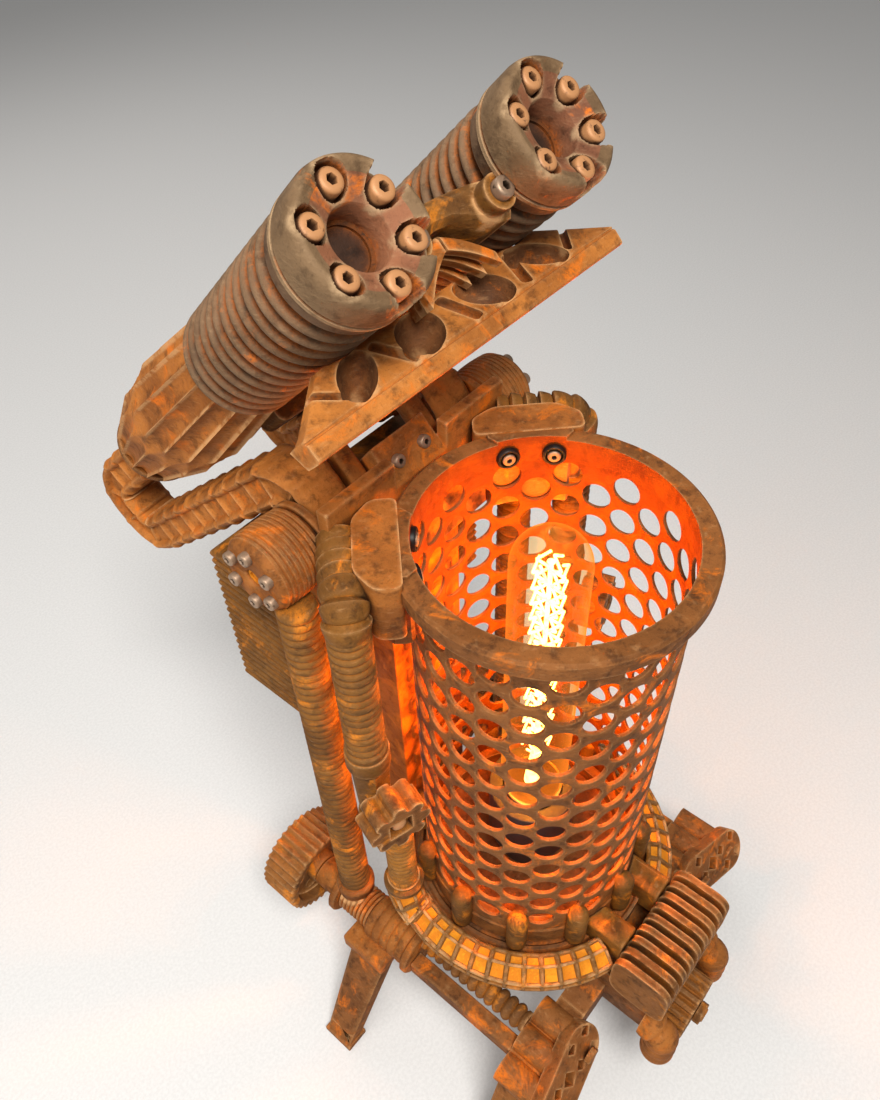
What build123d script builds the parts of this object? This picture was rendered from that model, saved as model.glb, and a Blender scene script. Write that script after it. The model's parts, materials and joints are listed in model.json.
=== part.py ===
from build123d import *
from math import cos, pi, sin, radians, sqrt
import os

os.makedirs("parts", exist_ok=True)

# The ground is z = 0, the front is -Y, and the lamp is symmetric about x = 0. Sizes are millimetres.
# A distance "behind" is measured from the shade's upright axis towards the rear.
SIDES = (("right", 1), ("left", -1))
SHADE_Y = -50.3
RIM_Z = 330.0
GAP = 0.3
SLIP = 0.1


def behind(distance):
    return SHADE_Y + distance


# Perforated shade
SHADE_RADIUS = 50.5
SHADE_WALL = 2.2
HOLE_COLUMNS = 26
HOLE_RADIUS = 5.9
HOLE_SIDES = 8
HOLE_PITCH = 16.1
HOLE_ROWS = 12
TUBE_TOP_Z = RIM_Z - 9.0
TUBE_HEIGHT = 196.0
TUBE_BOTTOM_Z = TUBE_TOP_Z - TUBE_HEIGHT
TOP_HOLE_DROP = 6.7

# Rim ring with its two lugs
RIM_RADIUS = 56.0
RIM_HEIGHT = 10.4
RIM_BEAD = 7.0
LUG_ANGLE = 45.0
LUG_REACH = 62.0
LUG_WIDTH = 32.0
LUG_HEIGHT = 34.0
LUG_CHAMFER = 6.0
RIM_SCREW_SPREAD = 10.5
RIM_SCREW_DROP = 4.0

# Cup under the shade
CUP_BOTTOM_Z = 112.0
CUP_RADIUS = 51.0
CUP_FLOOR = 6.0
CUP_BORE = 46.0
FINGERS = 12
FINGER_RADIUS = 4.8
FINGER_CIRCLE = 52.4
FINGER_HEIGHT = 29.0

# Bulb and its holder
BULB_RADIUS = 15.0
BULB_CAP_RADIUS = 13.2
BULB_CAP_HEIGHT = 26.0
BULB_CAP_Z = 144.0
HOLDER_RADIUS = 20.0
HOLDER_WALL = 3.0
HOLDER_FLOOR = BULB_CAP_Z - CUP_BOTTOM_Z - CUP_FLOOR

# Base casting
HUB_RADIUS = 32.0
HUB_FLANGE = 44.0
HUB_BOTTOM_Z = 66.0
NOSE_WIDTH = 48.0
NOSE_FRONT = 88.0
NOSE_TOP_Z = 96.0
SIDE_X = 66.0
SIDE_Z = 75.0

# Tower behind the shade
SPINE_WIDTH = 44.0
SPINE_DEPTH = 20.0
SPINE_BACK = 60.0
SPINE_WALL = 3.0
SPINE_BOTTOM_Z = 80.0
NECK_BOTTOM_Z = RIM_Z - 46.0
SHOULDER_Z = RIM_Z - 22.0

# Ribbed drums beside the neck
DRUM_BACK = 74.0
DRUM_Z = RIM_Z - 11.5
DRUM_RADIUS = 15.5
DRUM_INNER_X = 48.0
DRUM_LENGTH = 23.0
DRUM_BORE = 3.6

# Hoses
HOSE_RADIUS = 7.2
HOSE_VALLEY = 6.3
HOSE_BORE = 4.0
LOWER_HOSE_RADIUS = 6.5
LOWER_HOSE_VALLEY = 5.4
LOWER_HOSE_X = 61.0
LOWER_HOSE_BACK = 28.0
REAR_HOSE_X = 64.0
REAR_HOSE_BACK = 62.0

# Ring duct round the front of the cup
RING_INNER = 59.0
RING_OUTER = 70.0
RING_BOTTOM_Z = 106.0
RING_HEIGHT = 12.0
RING_CELLS = 48

# Twin finned cylinders of the head
HEAD_TILT = 45.0
HEAD_BACK = 33.5
HEAD_Z = RIM_Z + 115.0
CYLINDER_X = 40.4
CAP_RADIUS = 20.5
FIN_RADIUS = 19.5
FIN_ROOT = 17.0
FINS = 12
CAP_END = 14.0
COLLAR_END = 22.0
CYLINDER_END = 88.0
MUZZLE_BORE = 7.5
CONE_SIDES = 16
CONE_WIDE_AT = 146.0
CONE_WIDE = 22.0
CONE_END = 186.0
CONE_END_RADIUS = 16.0
BOLT_CIRCLE = 13.7
CAP_SCREW_RADIUS = 3.3

SHADE_SECTION = Plane(origin=(0, SHADE_Y, 0), x_dir=(1, 0, 0), z_dir=(0, -1, 0))
SHADE_AXIS = Axis((0, SHADE_Y, 0), (0, 0, 1))
TILT_COS = cos(radians(HEAD_TILT))
TILT_SIN = sin(radians(HEAD_TILT))
HEAD = Plane(origin=(0, behind(HEAD_BACK), HEAD_Z), x_dir=(1, 0, 0), z_dir=(0, -TILT_COS, TILT_SIN))


def level(height):
    """The horizontal plane at this height, centred on the shade's axis."""
    return Plane(origin=(0, SHADE_Y, height))


def down_head(distance):
    """The plane across the head's cylinders, this far down from their front faces."""
    return HEAD.offset(-distance)


def across(side_x, back, height):
    """A plane facing +X at this point, with its x towards the rear and its y up."""
    return Plane(origin=(side_x, behind(back), height), x_dir=(0, 1, 0), z_dir=(1, 0, 0))


def facing_front(side_x, back, height):
    """A plane facing the front at this point, with its x along +X and its y up."""
    return Plane(origin=(side_x, behind(back), height), x_dir=(1, 0, 0), z_dir=(0, -1, 0))


def tooth_points(root, tip, teeth, land=0.5):
    """The outline of a toothed wheel: four points a tooth, on two circles."""
    points = []
    step = 2 * pi / teeth
    for tooth in range(teeth):
        for share, radius in ((-0.5, root), (-0.5 * land, tip), (0.5 * land * 0.6, tip), (0.3, root)):
            angle = (tooth + share) * step
            points.append((radius * cos(angle), radius * sin(angle)))
    return points


def socket_screw(head, head_height, shank, shank_length):
    """A socket screw with the head's underside on z = 0 and its shank downwards."""
    with BuildPart() as screw:
        with BuildSketch():
            Circle(head)
        extrude(amount=head_height)
        with BuildSketch(Plane.XY.offset(head_height)):
            RegularPolygon(head * 0.5, 6)
        extrude(amount=-head_height * 0.6, mode=Mode.SUBTRACT)
        if shank_length:
            with BuildSketch():
                Circle(shank)
            extrude(amount=-shank_length)
    return screw.part


# Perforated shade tube: a column of holes in each flat, every other column half a pitch down
with BuildPart() as shade_tube:
    with BuildSketch(level(TUBE_BOTTOM_Z)):
        RegularPolygon(SHADE_RADIUS, HOLE_COLUMNS, rotation=-90)
        RegularPolygon(SHADE_RADIUS - SHADE_WALL, HOLE_COLUMNS, rotation=-90, mode=Mode.SUBTRACT)
    extrude(amount=TUBE_HEIGHT)
    for column in range(HOLE_COLUMNS):
        turn = radians(-90 + (column + 0.5) * 360 / HOLE_COLUMNS)
        stagger = 0.5 * HOLE_PITCH * (column % 2)
        top_hole_z = TUBE_TOP_Z - TOP_HOLE_DROP - stagger
        flat = Plane(origin=(0, SHADE_Y, top_hole_z), x_dir=(0, 0, -1), z_dir=(cos(turn), sin(turn), 0))
        with BuildSketch(flat):
            for row in range(HOLE_ROWS - column % 2):
                with Locations((row * HOLE_PITCH, 0)):
                    RegularPolygon(HOLE_RADIUS, HOLE_SIDES, rotation=180 / HOLE_SIDES)
        extrude(amount=SHADE_RADIUS + 5, mode=Mode.SUBTRACT)
shade_tube.part.label = "shade_tube"
export_step(shade_tube.part, "parts/shade_tube.step")

# Rim ring on the tube, with two chamfered lugs towards the rear
RIM_INNER = SHADE_RADIUS - SHADE_WALL
rim_screw_places = []
for lug_side in (-1, 1):
    for step_aside in (-1, 1):
        bearing = radians(lug_side * LUG_ANGLE + step_aside * RIM_SCREW_SPREAD)
        outward = (sin(bearing), cos(bearing), 0)
        rim_screw_places.append(Plane(origin=(0, SHADE_Y, RIM_Z - RIM_SCREW_DROP), z_dir=outward))
RIM_SCREW_HEAD = 3.1
RIM_SCREW_DEPTH = 2.6
RIM_SCREW_SHANK = 1.5
RIM_SCREW_LENGTH = 7.0
with BuildPart() as shade_rim:
    with BuildSketch(level(TUBE_TOP_Z)):
        Circle(SHADE_RADIUS + 1.5)
    extrude(amount=RIM_HEIGHT - RIM_BEAD)
    with BuildSketch(level(TUBE_TOP_Z + RIM_HEIGHT - RIM_BEAD)):
        Circle(RIM_RADIUS)
    extrude(amount=RIM_BEAD)
    chamfer(shade_rim.edges().filter_by(GeomType.CIRCLE).group_by(Axis.Z)[-1], 1.2)
    for lug_side in (-1, 1):
        bearing = radians(lug_side * LUG_ANGLE)
        lug_foot = Plane(
            origin=(0, SHADE_Y, RIM_Z + 3 - LUG_HEIGHT),
            x_dir=(sin(bearing), cos(bearing), 0),
            z_dir=(0, 0, 1),
        )
        with BuildSketch(lug_foot):
            with Locations((LUG_REACH - 9, 0)):
                Rectangle(18, LUG_WIDTH)
            chamfer(vertices(Select.LAST), LUG_CHAMFER)
        extrude(amount=LUG_HEIGHT)
    with BuildSketch(level(TUBE_TOP_Z)):
        Circle(RIM_INNER)
    extrude(amount=RIM_HEIGHT + 5, mode=Mode.SUBTRACT)
    with BuildSketch(level(RIM_Z - LUG_HEIGHT)):
        Circle(SHADE_RADIUS + GAP)
    extrude(amount=TUBE_TOP_Z - RIM_Z + LUG_HEIGHT, mode=Mode.SUBTRACT)
    for place in rim_screw_places:
        with BuildSketch(place):
            Circle(RIM_SCREW_HEAD + SLIP)
        extrude(amount=RIM_INNER + RIM_SCREW_DEPTH, mode=Mode.SUBTRACT)
        with BuildSketch(place):
            Circle(RIM_SCREW_SHANK + SLIP)
        extrude(amount=RIM_INNER + RIM_SCREW_DEPTH + RIM_SCREW_LENGTH, mode=Mode.SUBTRACT)
shade_rim.part.label = "shade_rim"
export_step(shade_rim.part, "parts/shade_rim.step")

# Cup that the tube stands in, with a ring of half-round fingers outside the tube
with BuildPart() as shade_cup:
    with BuildSketch(level(CUP_BOTTOM_Z)):
        Circle(CUP_RADIUS)
    extrude(amount=TUBE_BOTTOM_Z - CUP_BOTTOM_Z)
    with BuildSketch(level(TUBE_BOTTOM_Z)):
        Circle((SHADE_RADIUS - SHADE_WALL) * cos(pi / HOLE_COLUMNS) - SLIP)
    extrude(amount=5)
    with BuildSketch(level(CUP_BOTTOM_Z + CUP_FLOOR)):
        Circle(CUP_BORE - 2)
    extrude(amount=40, mode=Mode.SUBTRACT)
    with BuildSketch(level(CUP_BOTTOM_Z + 2)):
        with PolarLocations(FINGER_CIRCLE, FINGERS):
            Circle(FINGER_RADIUS)
    extrude(amount=FINGER_HEIGHT)
    with BuildSketch(level(TUBE_BOTTOM_Z)):
        Circle(SHADE_RADIUS + SLIP)
        Circle((SHADE_RADIUS - SHADE_WALL) * cos(pi / HOLE_COLUMNS) - SLIP, mode=Mode.SUBTRACT)
    extrude(amount=FINGER_HEIGHT + 5, mode=Mode.SUBTRACT)
shade_cup.part.label = "shade_cup"
export_step(shade_cup.part, "parts/shade_cup.step")

# Lampholder standing on the cup's floor
with BuildPart() as lampholder:
    with BuildSketch(level(CUP_BOTTOM_Z + CUP_FLOOR)):
        Circle(HOLDER_RADIUS - 4)
    extrude(amount=HOLDER_FLOOR)
    with BuildSketch(level(BULB_CAP_Z - 12)):
        Circle(HOLDER_RADIUS)
    extrude(amount=36)
    with BuildSketch(level(BULB_CAP_Z)):
        Circle(BULB_CAP_RADIUS + GAP)
    extrude(amount=40, mode=Mode.SUBTRACT)
lampholder.part.label = "lampholder"
export_step(lampholder.part, "parts/lampholder.step")

# Screw cap of the bulb, with its rounded thread turns
with BuildPart() as bulb_cap:
    with BuildSketch(SHADE_SECTION):
        with BuildLine():
            outline = [(0, BULB_CAP_Z), (5, BULB_CAP_Z), (BULB_CAP_RADIUS - 3, BULB_CAP_Z + 4)]
            for turn in range(3):
                outline.append((BULB_CAP_RADIUS, BULB_CAP_Z + 6 + 5 * turn))
                outline.append((BULB_CAP_RADIUS - 1.2, BULB_CAP_Z + 8.5 + 5 * turn))
            outline.append((BULB_CAP_RADIUS, BULB_CAP_Z + BULB_CAP_HEIGHT - 3))
            outline.append((BULB_CAP_RADIUS, BULB_CAP_Z + BULB_CAP_HEIGHT))
            outline.append((0, BULB_CAP_Z + BULB_CAP_HEIGHT))
            Polyline(*outline, close=True)
        make_face()
    revolve(axis=SHADE_AXIS)
bulb_cap.part.label = "bulb_cap"
export_step(bulb_cap.part, "parts/bulb_cap.step")

# Tubular glass envelope with a domed end, hollow round the filament
GLASS_WALL = 1.2
GLASS_BOTTOM_Z = BULB_CAP_Z + BULB_CAP_HEIGHT
GLASS_SHOULDER_Z = GLASS_BOTTOM_Z + 12
with BuildPart() as bulb_glass:
    for inset, mode in ((0, Mode.ADD), (GLASS_WALL, Mode.SUBTRACT)):
        with BuildSketch(SHADE_SECTION):
            with BuildLine():
                radius = BULB_RADIUS - inset
                shoulder = (radius, RIM_Z - BULB_RADIUS)
                Polyline(
                    (0, RIM_Z - BULB_RADIUS),
                    (0, GLASS_BOTTOM_Z + inset),
                    (BULB_CAP_RADIUS - 1 - inset, GLASS_BOTTOM_Z + inset),
                    (radius, GLASS_SHOULDER_Z),
                    shoulder,
                )
                RadiusArc(shoulder, (0, RIM_Z - inset), -radius)
                Line((0, RIM_Z - inset), (0, RIM_Z - BULB_RADIUS))
            make_face()
        revolve(axis=SHADE_AXIS, mode=mode)
bulb_glass.part.label = "bulb_glass"
export_step(bulb_glass.part, "parts/bulb_glass.step")

# Filament frame: a glass stem, four upright strands and two small crosses
FILAMENT_CIRCLE = 5.0
FILAMENT_BOTTOM_Z = GLASS_BOTTOM_Z + 32
FILAMENT_TOP_Z = RIM_Z - 9
with BuildPart() as bulb_filament:
    with BuildSketch(level(GLASS_BOTTOM_Z + GLASS_WALL)):
        Circle(4)
    with BuildSketch(level(FILAMENT_BOTTOM_Z)):
        Circle(1.6)
    loft(ruled=True)
    for cross_z in (FILAMENT_BOTTOM_Z - 0.8, FILAMENT_TOP_Z - 0.8):
        with BuildSketch(level(cross_z)):
            Rectangle(2 * FILAMENT_CIRCLE + 1.6, 1.2)
            Rectangle(1.2, 2 * FILAMENT_CIRCLE + 1.6)
        extrude(amount=1.6)
    with BuildSketch(level(FILAMENT_BOTTOM_Z)):
        with PolarLocations(FILAMENT_CIRCLE, 4):
            Rectangle(1.4, 1.4)
    extrude(amount=FILAMENT_TOP_Z - FILAMENT_BOTTOM_Z)
bulb_filament.part.label = "bulb_filament"
export_step(bulb_filament.part, "parts/bulb_filament.step")

# Base casting: hub under the cup, nose under the fin block, cross beams and a pad for the spine
FRONT_BEAM_BACK = -58.0
REAR_BEAM_BACK = 29.0
BEAM_HEIGHT = 16.0
BEAM_END_X = 42.0
SLEEVE_END_X = 52.0
PAD_BACK = 84.0
LADDER_RUNGS = 4
with BuildPart() as base_frame:
    with BuildSketch(level(HUB_BOTTOM_Z)):
        Circle(HUB_RADIUS)
    extrude(amount=CUP_BOTTOM_Z - 8 - HUB_BOTTOM_Z)
    with BuildSketch(level(CUP_BOTTOM_Z - 8)):
        Circle(HUB_FLANGE)
    extrude(amount=8)
    with BuildSketch(across(-NOSE_WIDTH / 2, 0, 0)):
        Polygon(
            (-NOSE_FRONT, HUB_BOTTOM_Z),
            (0, HUB_BOTTOM_Z),
            (0, NOSE_TOP_Z),
            (-NOSE_FRONT + 8, NOSE_TOP_Z),
            (-NOSE_FRONT, NOSE_TOP_Z - 8),
            align=None,
        )
    extrude(amount=NOSE_WIDTH)
    with BuildSketch(Plane(origin=(0, behind(FRONT_BEAM_BACK), HUB_BOTTOM_Z))):
        Rectangle(2 * BEAM_END_X, 14)
    extrude(amount=BEAM_HEIGHT)
    with BuildSketch(Plane(origin=(0, behind(REAR_BEAM_BACK), HUB_BOTTOM_Z))):
        Rectangle(2 * SLEEVE_END_X, 14)
    extrude(amount=BEAM_HEIGHT)
    with BuildSketch(Plane(origin=(0, behind(PAD_BACK / 2), HUB_BOTTOM_Z))):
        Rectangle(SPINE_WIDTH, PAD_BACK)
    extrude(amount=SPINE_BOTTOM_Z - HUB_BOTTOM_Z)
    # Open well for the lampholder's leads, from below
    with BuildSketch(level(HUB_BOTTOM_Z)):
        Circle(HUB_RADIUS - 14)
    extrude(amount=CUP_BOTTOM_Z - HUB_BOTTOM_Z - 5, mode=Mode.SUBTRACT)
    # Ladder of recesses across the nose
    with BuildSketch(facing_front(0, -NOSE_FRONT, HUB_BOTTOM_Z + 11)):
        with GridLocations(11, 1, LADDER_RUNGS, 1):
            Rectangle(7, 13)
    extrude(amount=-3, mode=Mode.SUBTRACT)
base_frame.part.label = "base_frame"
export_step(base_frame.part, "parts/base_frame.step")

# Cable gland in the rear of the base casting's pad
GLAND_BORE = 3.2
with BuildPart() as cable_gland:
    with BuildSketch(facing_front(0, PAD_BACK, HUB_BOTTOM_Z + 7.5)):
        RegularPolygon(8, 6)
        Circle(GLAND_BORE, mode=Mode.SUBTRACT)
    extrude(amount=-5)
    with BuildSketch(facing_front(0, PAD_BACK + 5, HUB_BOTTOM_Z + 7.5)):
        Circle(6)
        Circle(GLAND_BORE, mode=Mode.SUBTRACT)
    extrude(amount=-6)
cable_gland.part.label = "cable_gland"
export_step(cable_gland.part, "parts/cable_gland.step")

# Finned block on the nose, its fins stacked across the lamp
FIN_BLOCK_WIDTH = 56.0
FIN_BLOCK_BACK = -67.0
FIN_BLOCK_DEPTH = 28.0
FIN_BLOCK_HEIGHT = 31.0
BLOCK_FINS = 9
BLOCK_FIN_THICKNESS = 3.2
with BuildPart() as front_fin_block:
    with BuildSketch(across(-FIN_BLOCK_WIDTH / 2, FIN_BLOCK_BACK - FIN_BLOCK_DEPTH / 2, NOSE_TOP_Z)):
        with Locations((2, 11)):
            Rectangle(FIN_BLOCK_DEPTH - 8, 22)
    extrude(amount=FIN_BLOCK_WIDTH)
    fin_pitch = (FIN_BLOCK_WIDTH - BLOCK_FIN_THICKNESS) / (BLOCK_FINS - 1)
    for fin in range(BLOCK_FINS):
        fin_x = -FIN_BLOCK_WIDTH / 2 + fin * fin_pitch
        with BuildSketch(across(fin_x, FIN_BLOCK_BACK - FIN_BLOCK_DEPTH / 2, NOSE_TOP_Z)):
            with Locations((0, FIN_BLOCK_HEIGHT / 2)):
                Rectangle(FIN_BLOCK_DEPTH, FIN_BLOCK_HEIGHT)
            chamfer(vertices(), 6)
        extrude(amount=BLOCK_FIN_THICKNESS)
front_fin_block.part.label = "front_fin_block"
export_step(front_fin_block.part, "parts/front_fin_block.step")

# Two short square ducts between the cup and the fin block
CONNECTOR_X = 15.0
CONNECTOR_WIDTH = 12.5
CONNECTOR_TOP_Z = RIM_Z - 204.0
with BuildPart() as fin_connectors:
    for side, sign in SIDES:
        with BuildSketch(level(RING_BOTTOM_Z + 1)):
            with Locations((sign * CONNECTOR_X, FIN_BLOCK_BACK + 12)):
                Rectangle(CONNECTOR_WIDTH, 24)
        extrude(amount=CONNECTOR_TOP_Z - RING_BOTTOM_Z - 1)
    fillet(fin_connectors.edges().filter_by(Axis.Y).group_by(Axis.Z)[-1], 3)
    with BuildSketch(level(RING_BOTTOM_Z)):
        Circle(CUP_RADIUS + SLIP)
    extrude(amount=40, mode=Mode.SUBTRACT)
fin_connectors.part.label = "fin_connectors"
export_step(fin_connectors.part, "parts/fin_connectors.step")

# Ring ducts round the cup, with a row of square cells in the top and in the outer face
RING_FRONT_X = CONNECTOR_X + CONNECTOR_WIDTH / 2
CELL = 6.6
CELL_DEPTH = 1.4
COLLAR_RADIUS = 9.6
COLLAR_TOP_Z = RIM_Z - 194.0
RING_FLAT = RING_OUTER * cos(pi / RING_CELLS)
RING_REAR_ANGLE = 22.5
for side, sign in SIDES:
    with BuildPart() as ring_duct:
        with BuildSketch(level(RING_BOTTOM_Z)):
            RegularPolygon(RING_OUTER, RING_CELLS, rotation=0)
            RegularPolygon(RING_INNER, RING_CELLS, rotation=0, mode=Mode.SUBTRACT)
            with Locations((-sign * 50, 0)):
                Rectangle(100 + 2 * RING_FRONT_X, 200, mode=Mode.SUBTRACT)
            with BuildLine():
                far = 2 * RING_OUTER
                Polyline(
                    (0, 0),
                    (sign * far * cos(radians(RING_REAR_ANGLE)), far * sin(radians(RING_REAR_ANGLE))),
                    (0, far),
                    close=True,
                )
            make_face(mode=Mode.SUBTRACT)
        extrude(amount=RING_HEIGHT)
        with BuildSketch(level(RING_BOTTOM_Z)):
            with Locations((sign * LOWER_HOSE_X, LOWER_HOSE_BACK)):
                Circle(COLLAR_RADIUS)
        extrude(amount=COLLAR_TOP_Z - RING_BOTTOM_Z)
        with BuildSketch(level(COLLAR_TOP_Z)):
            with Locations((sign * LOWER_HOSE_X, LOWER_HOSE_BACK)):
                Circle(HOSE_BORE)
        extrude(amount=-10, mode=Mode.SUBTRACT)
        for stay in (-45, -15):
            outward = (sign * cos(radians(stay)), sin(radians(stay)), 0)
            stay_plane = Plane(origin=(0, SHADE_Y, RING_BOTTOM_Z + 2), x_dir=outward)
            with BuildSketch(stay_plane):
                with Locations(((CUP_RADIUS + RING_INNER) / 2, 0)):
                    Rectangle(RING_INNER - CUP_RADIUS + 4, 6)
            extrude(amount=RING_HEIGHT - 4)
        with BuildSketch(level(RING_BOTTOM_Z)):
            Circle(CUP_RADIUS)
        extrude(amount=RING_HEIGHT + 5, mode=Mode.SUBTRACT)
        cell_angle = 360 / RING_CELLS
        for cell in range(12):
            angle = radians(-90 + sign * (22.5 + (cell + 0.5) * cell_angle))
            out = (cos(angle), sin(angle), 0)
            cell_plane = Plane(origin=(0, SHADE_Y, RING_BOTTOM_Z + RING_HEIGHT / 2), z_dir=out)
            with BuildSketch(cell_plane.offset(RING_FLAT)):
                Rectangle(CELL, CELL + 1)
            extrude(amount=-CELL_DEPTH, mode=Mode.SUBTRACT)
            if cell < 11:
                mid = (RING_INNER + RING_OUTER) / 2
                top_cell = Plane(
                    origin=(mid * cos(angle), SHADE_Y + mid * sin(angle), RING_BOTTOM_Z + RING_HEIGHT),
                    x_dir=out,
                    z_dir=(0, 0, 1),
                )
                with BuildSketch(top_cell):
                    Rectangle(CELL, CELL)
                extrude(amount=-CELL_DEPTH, mode=Mode.SUBTRACT)
    ring_duct.part.label = f"ring_duct_{side}"
    export_step(ring_duct.part, f"parts/ring_duct_{side}.step")

# Front blocks: three rounded bars side by side, with a tenon to the cross beam and a pad for the leg
BAR_RADIUS = 7.5
BLOCK_FRONT = -68.0
BLOCK_REAR = -46.0
BEAM_ROD_REAR = 16.0
BARS = ((80.0, 70.0), (SIDE_X, SIDE_Z), (52.0, 78.0))
LEG_TOP_Z = 60.0
LEG_PAD_X = 75.0
for side, sign in SIDES:
    with BuildPart() as front_block:
        with BuildSketch(facing_front(0, BLOCK_REAR, 0)):
            for bar_x, bar_z in BARS:
                with Locations((sign * bar_x, bar_z)):
                    Circle(BAR_RADIUS)
            with Locations((sign * 66, 73.5)):
                Rectangle(26, 8, rotation=-sign * 16)
        extrude(amount=BLOCK_REAR - BLOCK_FRONT)
        with BuildSketch(facing_front(0, FRONT_BEAM_BACK + 7, 0)):
            with Locations((sign * (BEAM_END_X + 6), HUB_BOTTOM_Z + BEAM_HEIGHT / 2)):
                Rectangle(12, BEAM_HEIGHT)
        extrude(amount=14)
        pad_plane = Plane(origin=(sign * LEG_PAD_X, behind((BLOCK_REAR + BLOCK_FRONT) / 2), LEG_TOP_Z))
        with BuildSketch(pad_plane):
            Rectangle(20, BLOCK_REAR - BLOCK_FRONT)
        extrude(amount=10)
    front_block.part.label = f"front_block_{side}"
    export_step(front_block.part, f"parts/front_block_{side}.step")

# Star plates on the blocks' front ends, with diamond windows round each hub
PLATE_THICKNESS = 7.0
PLATE_RADIUS = 11.0
PLATE_ENDS = ((81.0, 69.0), (53.0, 78.0))
HUB_NUT = 4.2
NUT_HEIGHT = 3.0
with BuildPart() as star_plates:
    for side, sign in SIDES:
        with BuildSketch(facing_front(0, BLOCK_FRONT, 0)):
            for end_x, end_z in PLATE_ENDS:
                with Locations((sign * end_x, end_z)):
                    Circle(PLATE_RADIUS)
            make_hull()
            for end_x, end_z in PLATE_ENDS:
                with Locations((sign * end_x, end_z)):
                    with PolarLocations(7.6, 4, start_angle=45):
                        Rectangle(4.4, 4.4, mode=Mode.SUBTRACT)
            with Locations((sign * 67, 73.5)):
                RegularPolygon(4.5, 4, mode=Mode.SUBTRACT)
        extrude(amount=PLATE_THICKNESS)
star_plates.part.label = "star_plates"
export_step(star_plates.part, "parts/star_plates.step")

# Legs: flat tapered plates splayed outwards, with a channel down the outer face
FRONT_LEG_BACK = -57.0
REAR_LEG_BACK = 41.0
LEG_FOOT_X = 106.0
LEG_THICKNESS = 10.0
LEG_TOP_WIDTH = 22.0
LEG_FOOT_WIDTH = 16.0
FOOT_HEIGHT = 4.0


def leg(sign, back):
    """One leg with its foot on the ground."""
    splay = (LEG_FOOT_X - LEG_PAD_X) / (LEG_TOP_Z - FOOT_HEIGHT)
    top = Plane(origin=(sign * LEG_PAD_X, behind(back), LEG_TOP_Z))
    foot = Plane(origin=(sign * LEG_FOOT_X, behind(back), FOOT_HEIGHT))
    with BuildPart() as one:
        with BuildSketch(top):
            Rectangle(LEG_THICKNESS, LEG_TOP_WIDTH)
        with BuildSketch(foot):
            Rectangle(LEG_THICKNESS, LEG_FOOT_WIDTH)
        loft(ruled=True)
        with BuildSketch(top.offset(-8)):
            with Locations((sign * (LEG_THICKNESS + splay * 8), 0)):
                Rectangle(LEG_THICKNESS + 5, LEG_TOP_WIDTH - 9)
        with BuildSketch(foot.offset(8)):
            with Locations((sign * (LEG_THICKNESS - splay * 8), 0)):
                Rectangle(LEG_THICKNESS + 5, LEG_FOOT_WIDTH - 9)
        loft(ruled=True, mode=Mode.SUBTRACT)
        with BuildSketch(foot):
            Rectangle(LEG_THICKNESS + 3, LEG_FOOT_WIDTH + 2)
        extrude(amount=-FOOT_HEIGHT)
    return one.part


for place, back in (("front", FRONT_LEG_BACK), ("rear", REAR_LEG_BACK)):
    with BuildPart() as legs:
        for side, sign in SIDES:
            add(leg(sign, back))
    legs.part.label = f"{place}_legs"
    export_step(legs.part, f"parts/{place}_legs.step")

# Rails along both sides, from the front blocks to the rear sleeves
with BuildPart() as side_beams:
    for side, sign in SIDES:
        with BuildSketch(facing_front(sign * 71, BEAM_ROD_REAR, 71)):
            Rectangle(8, 10)
        extrude(amount=BEAM_ROD_REAR - BLOCK_REAR)
side_beams.part.label = "side_beams"
export_step(side_beams.part, "parts/side_beams.step")

# Rods wound with a coil, above the rails: one zigzag outline turned round each rod's axis
ROD_X = 61.0
ROD_Z = 80.0
COIL_CREST = 6.0
COIL_ROOT = 4.6
COIL_TURNS = 7
ROD_LENGTH = BEAM_ROD_REAR - BLOCK_REAR
with BuildPart() as coil_rods:
    for side, sign in SIDES:
        with BuildSketch(Plane(origin=(sign * ROD_X, behind(BLOCK_REAR), ROD_Z))):
            with BuildLine():
                outline = [(0, 0), (COIL_ROOT, 0)]
                for turn in range(COIL_TURNS):
                    outline.append((COIL_CREST, (turn + 0.5) * ROD_LENGTH / COIL_TURNS))
                    outline.append((COIL_ROOT, (turn + 1) * ROD_LENGTH / COIL_TURNS))
                outline.append((0, ROD_LENGTH))
                Polyline(*outline, close=True)
            make_face()
        revolve(axis=Axis((sign * ROD_X, behind(BLOCK_REAR), ROD_Z), (0, 1, 0)))
coil_rods.part.label = "coil_rods"
export_step(coil_rods.part, "parts/coil_rods.step")

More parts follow.
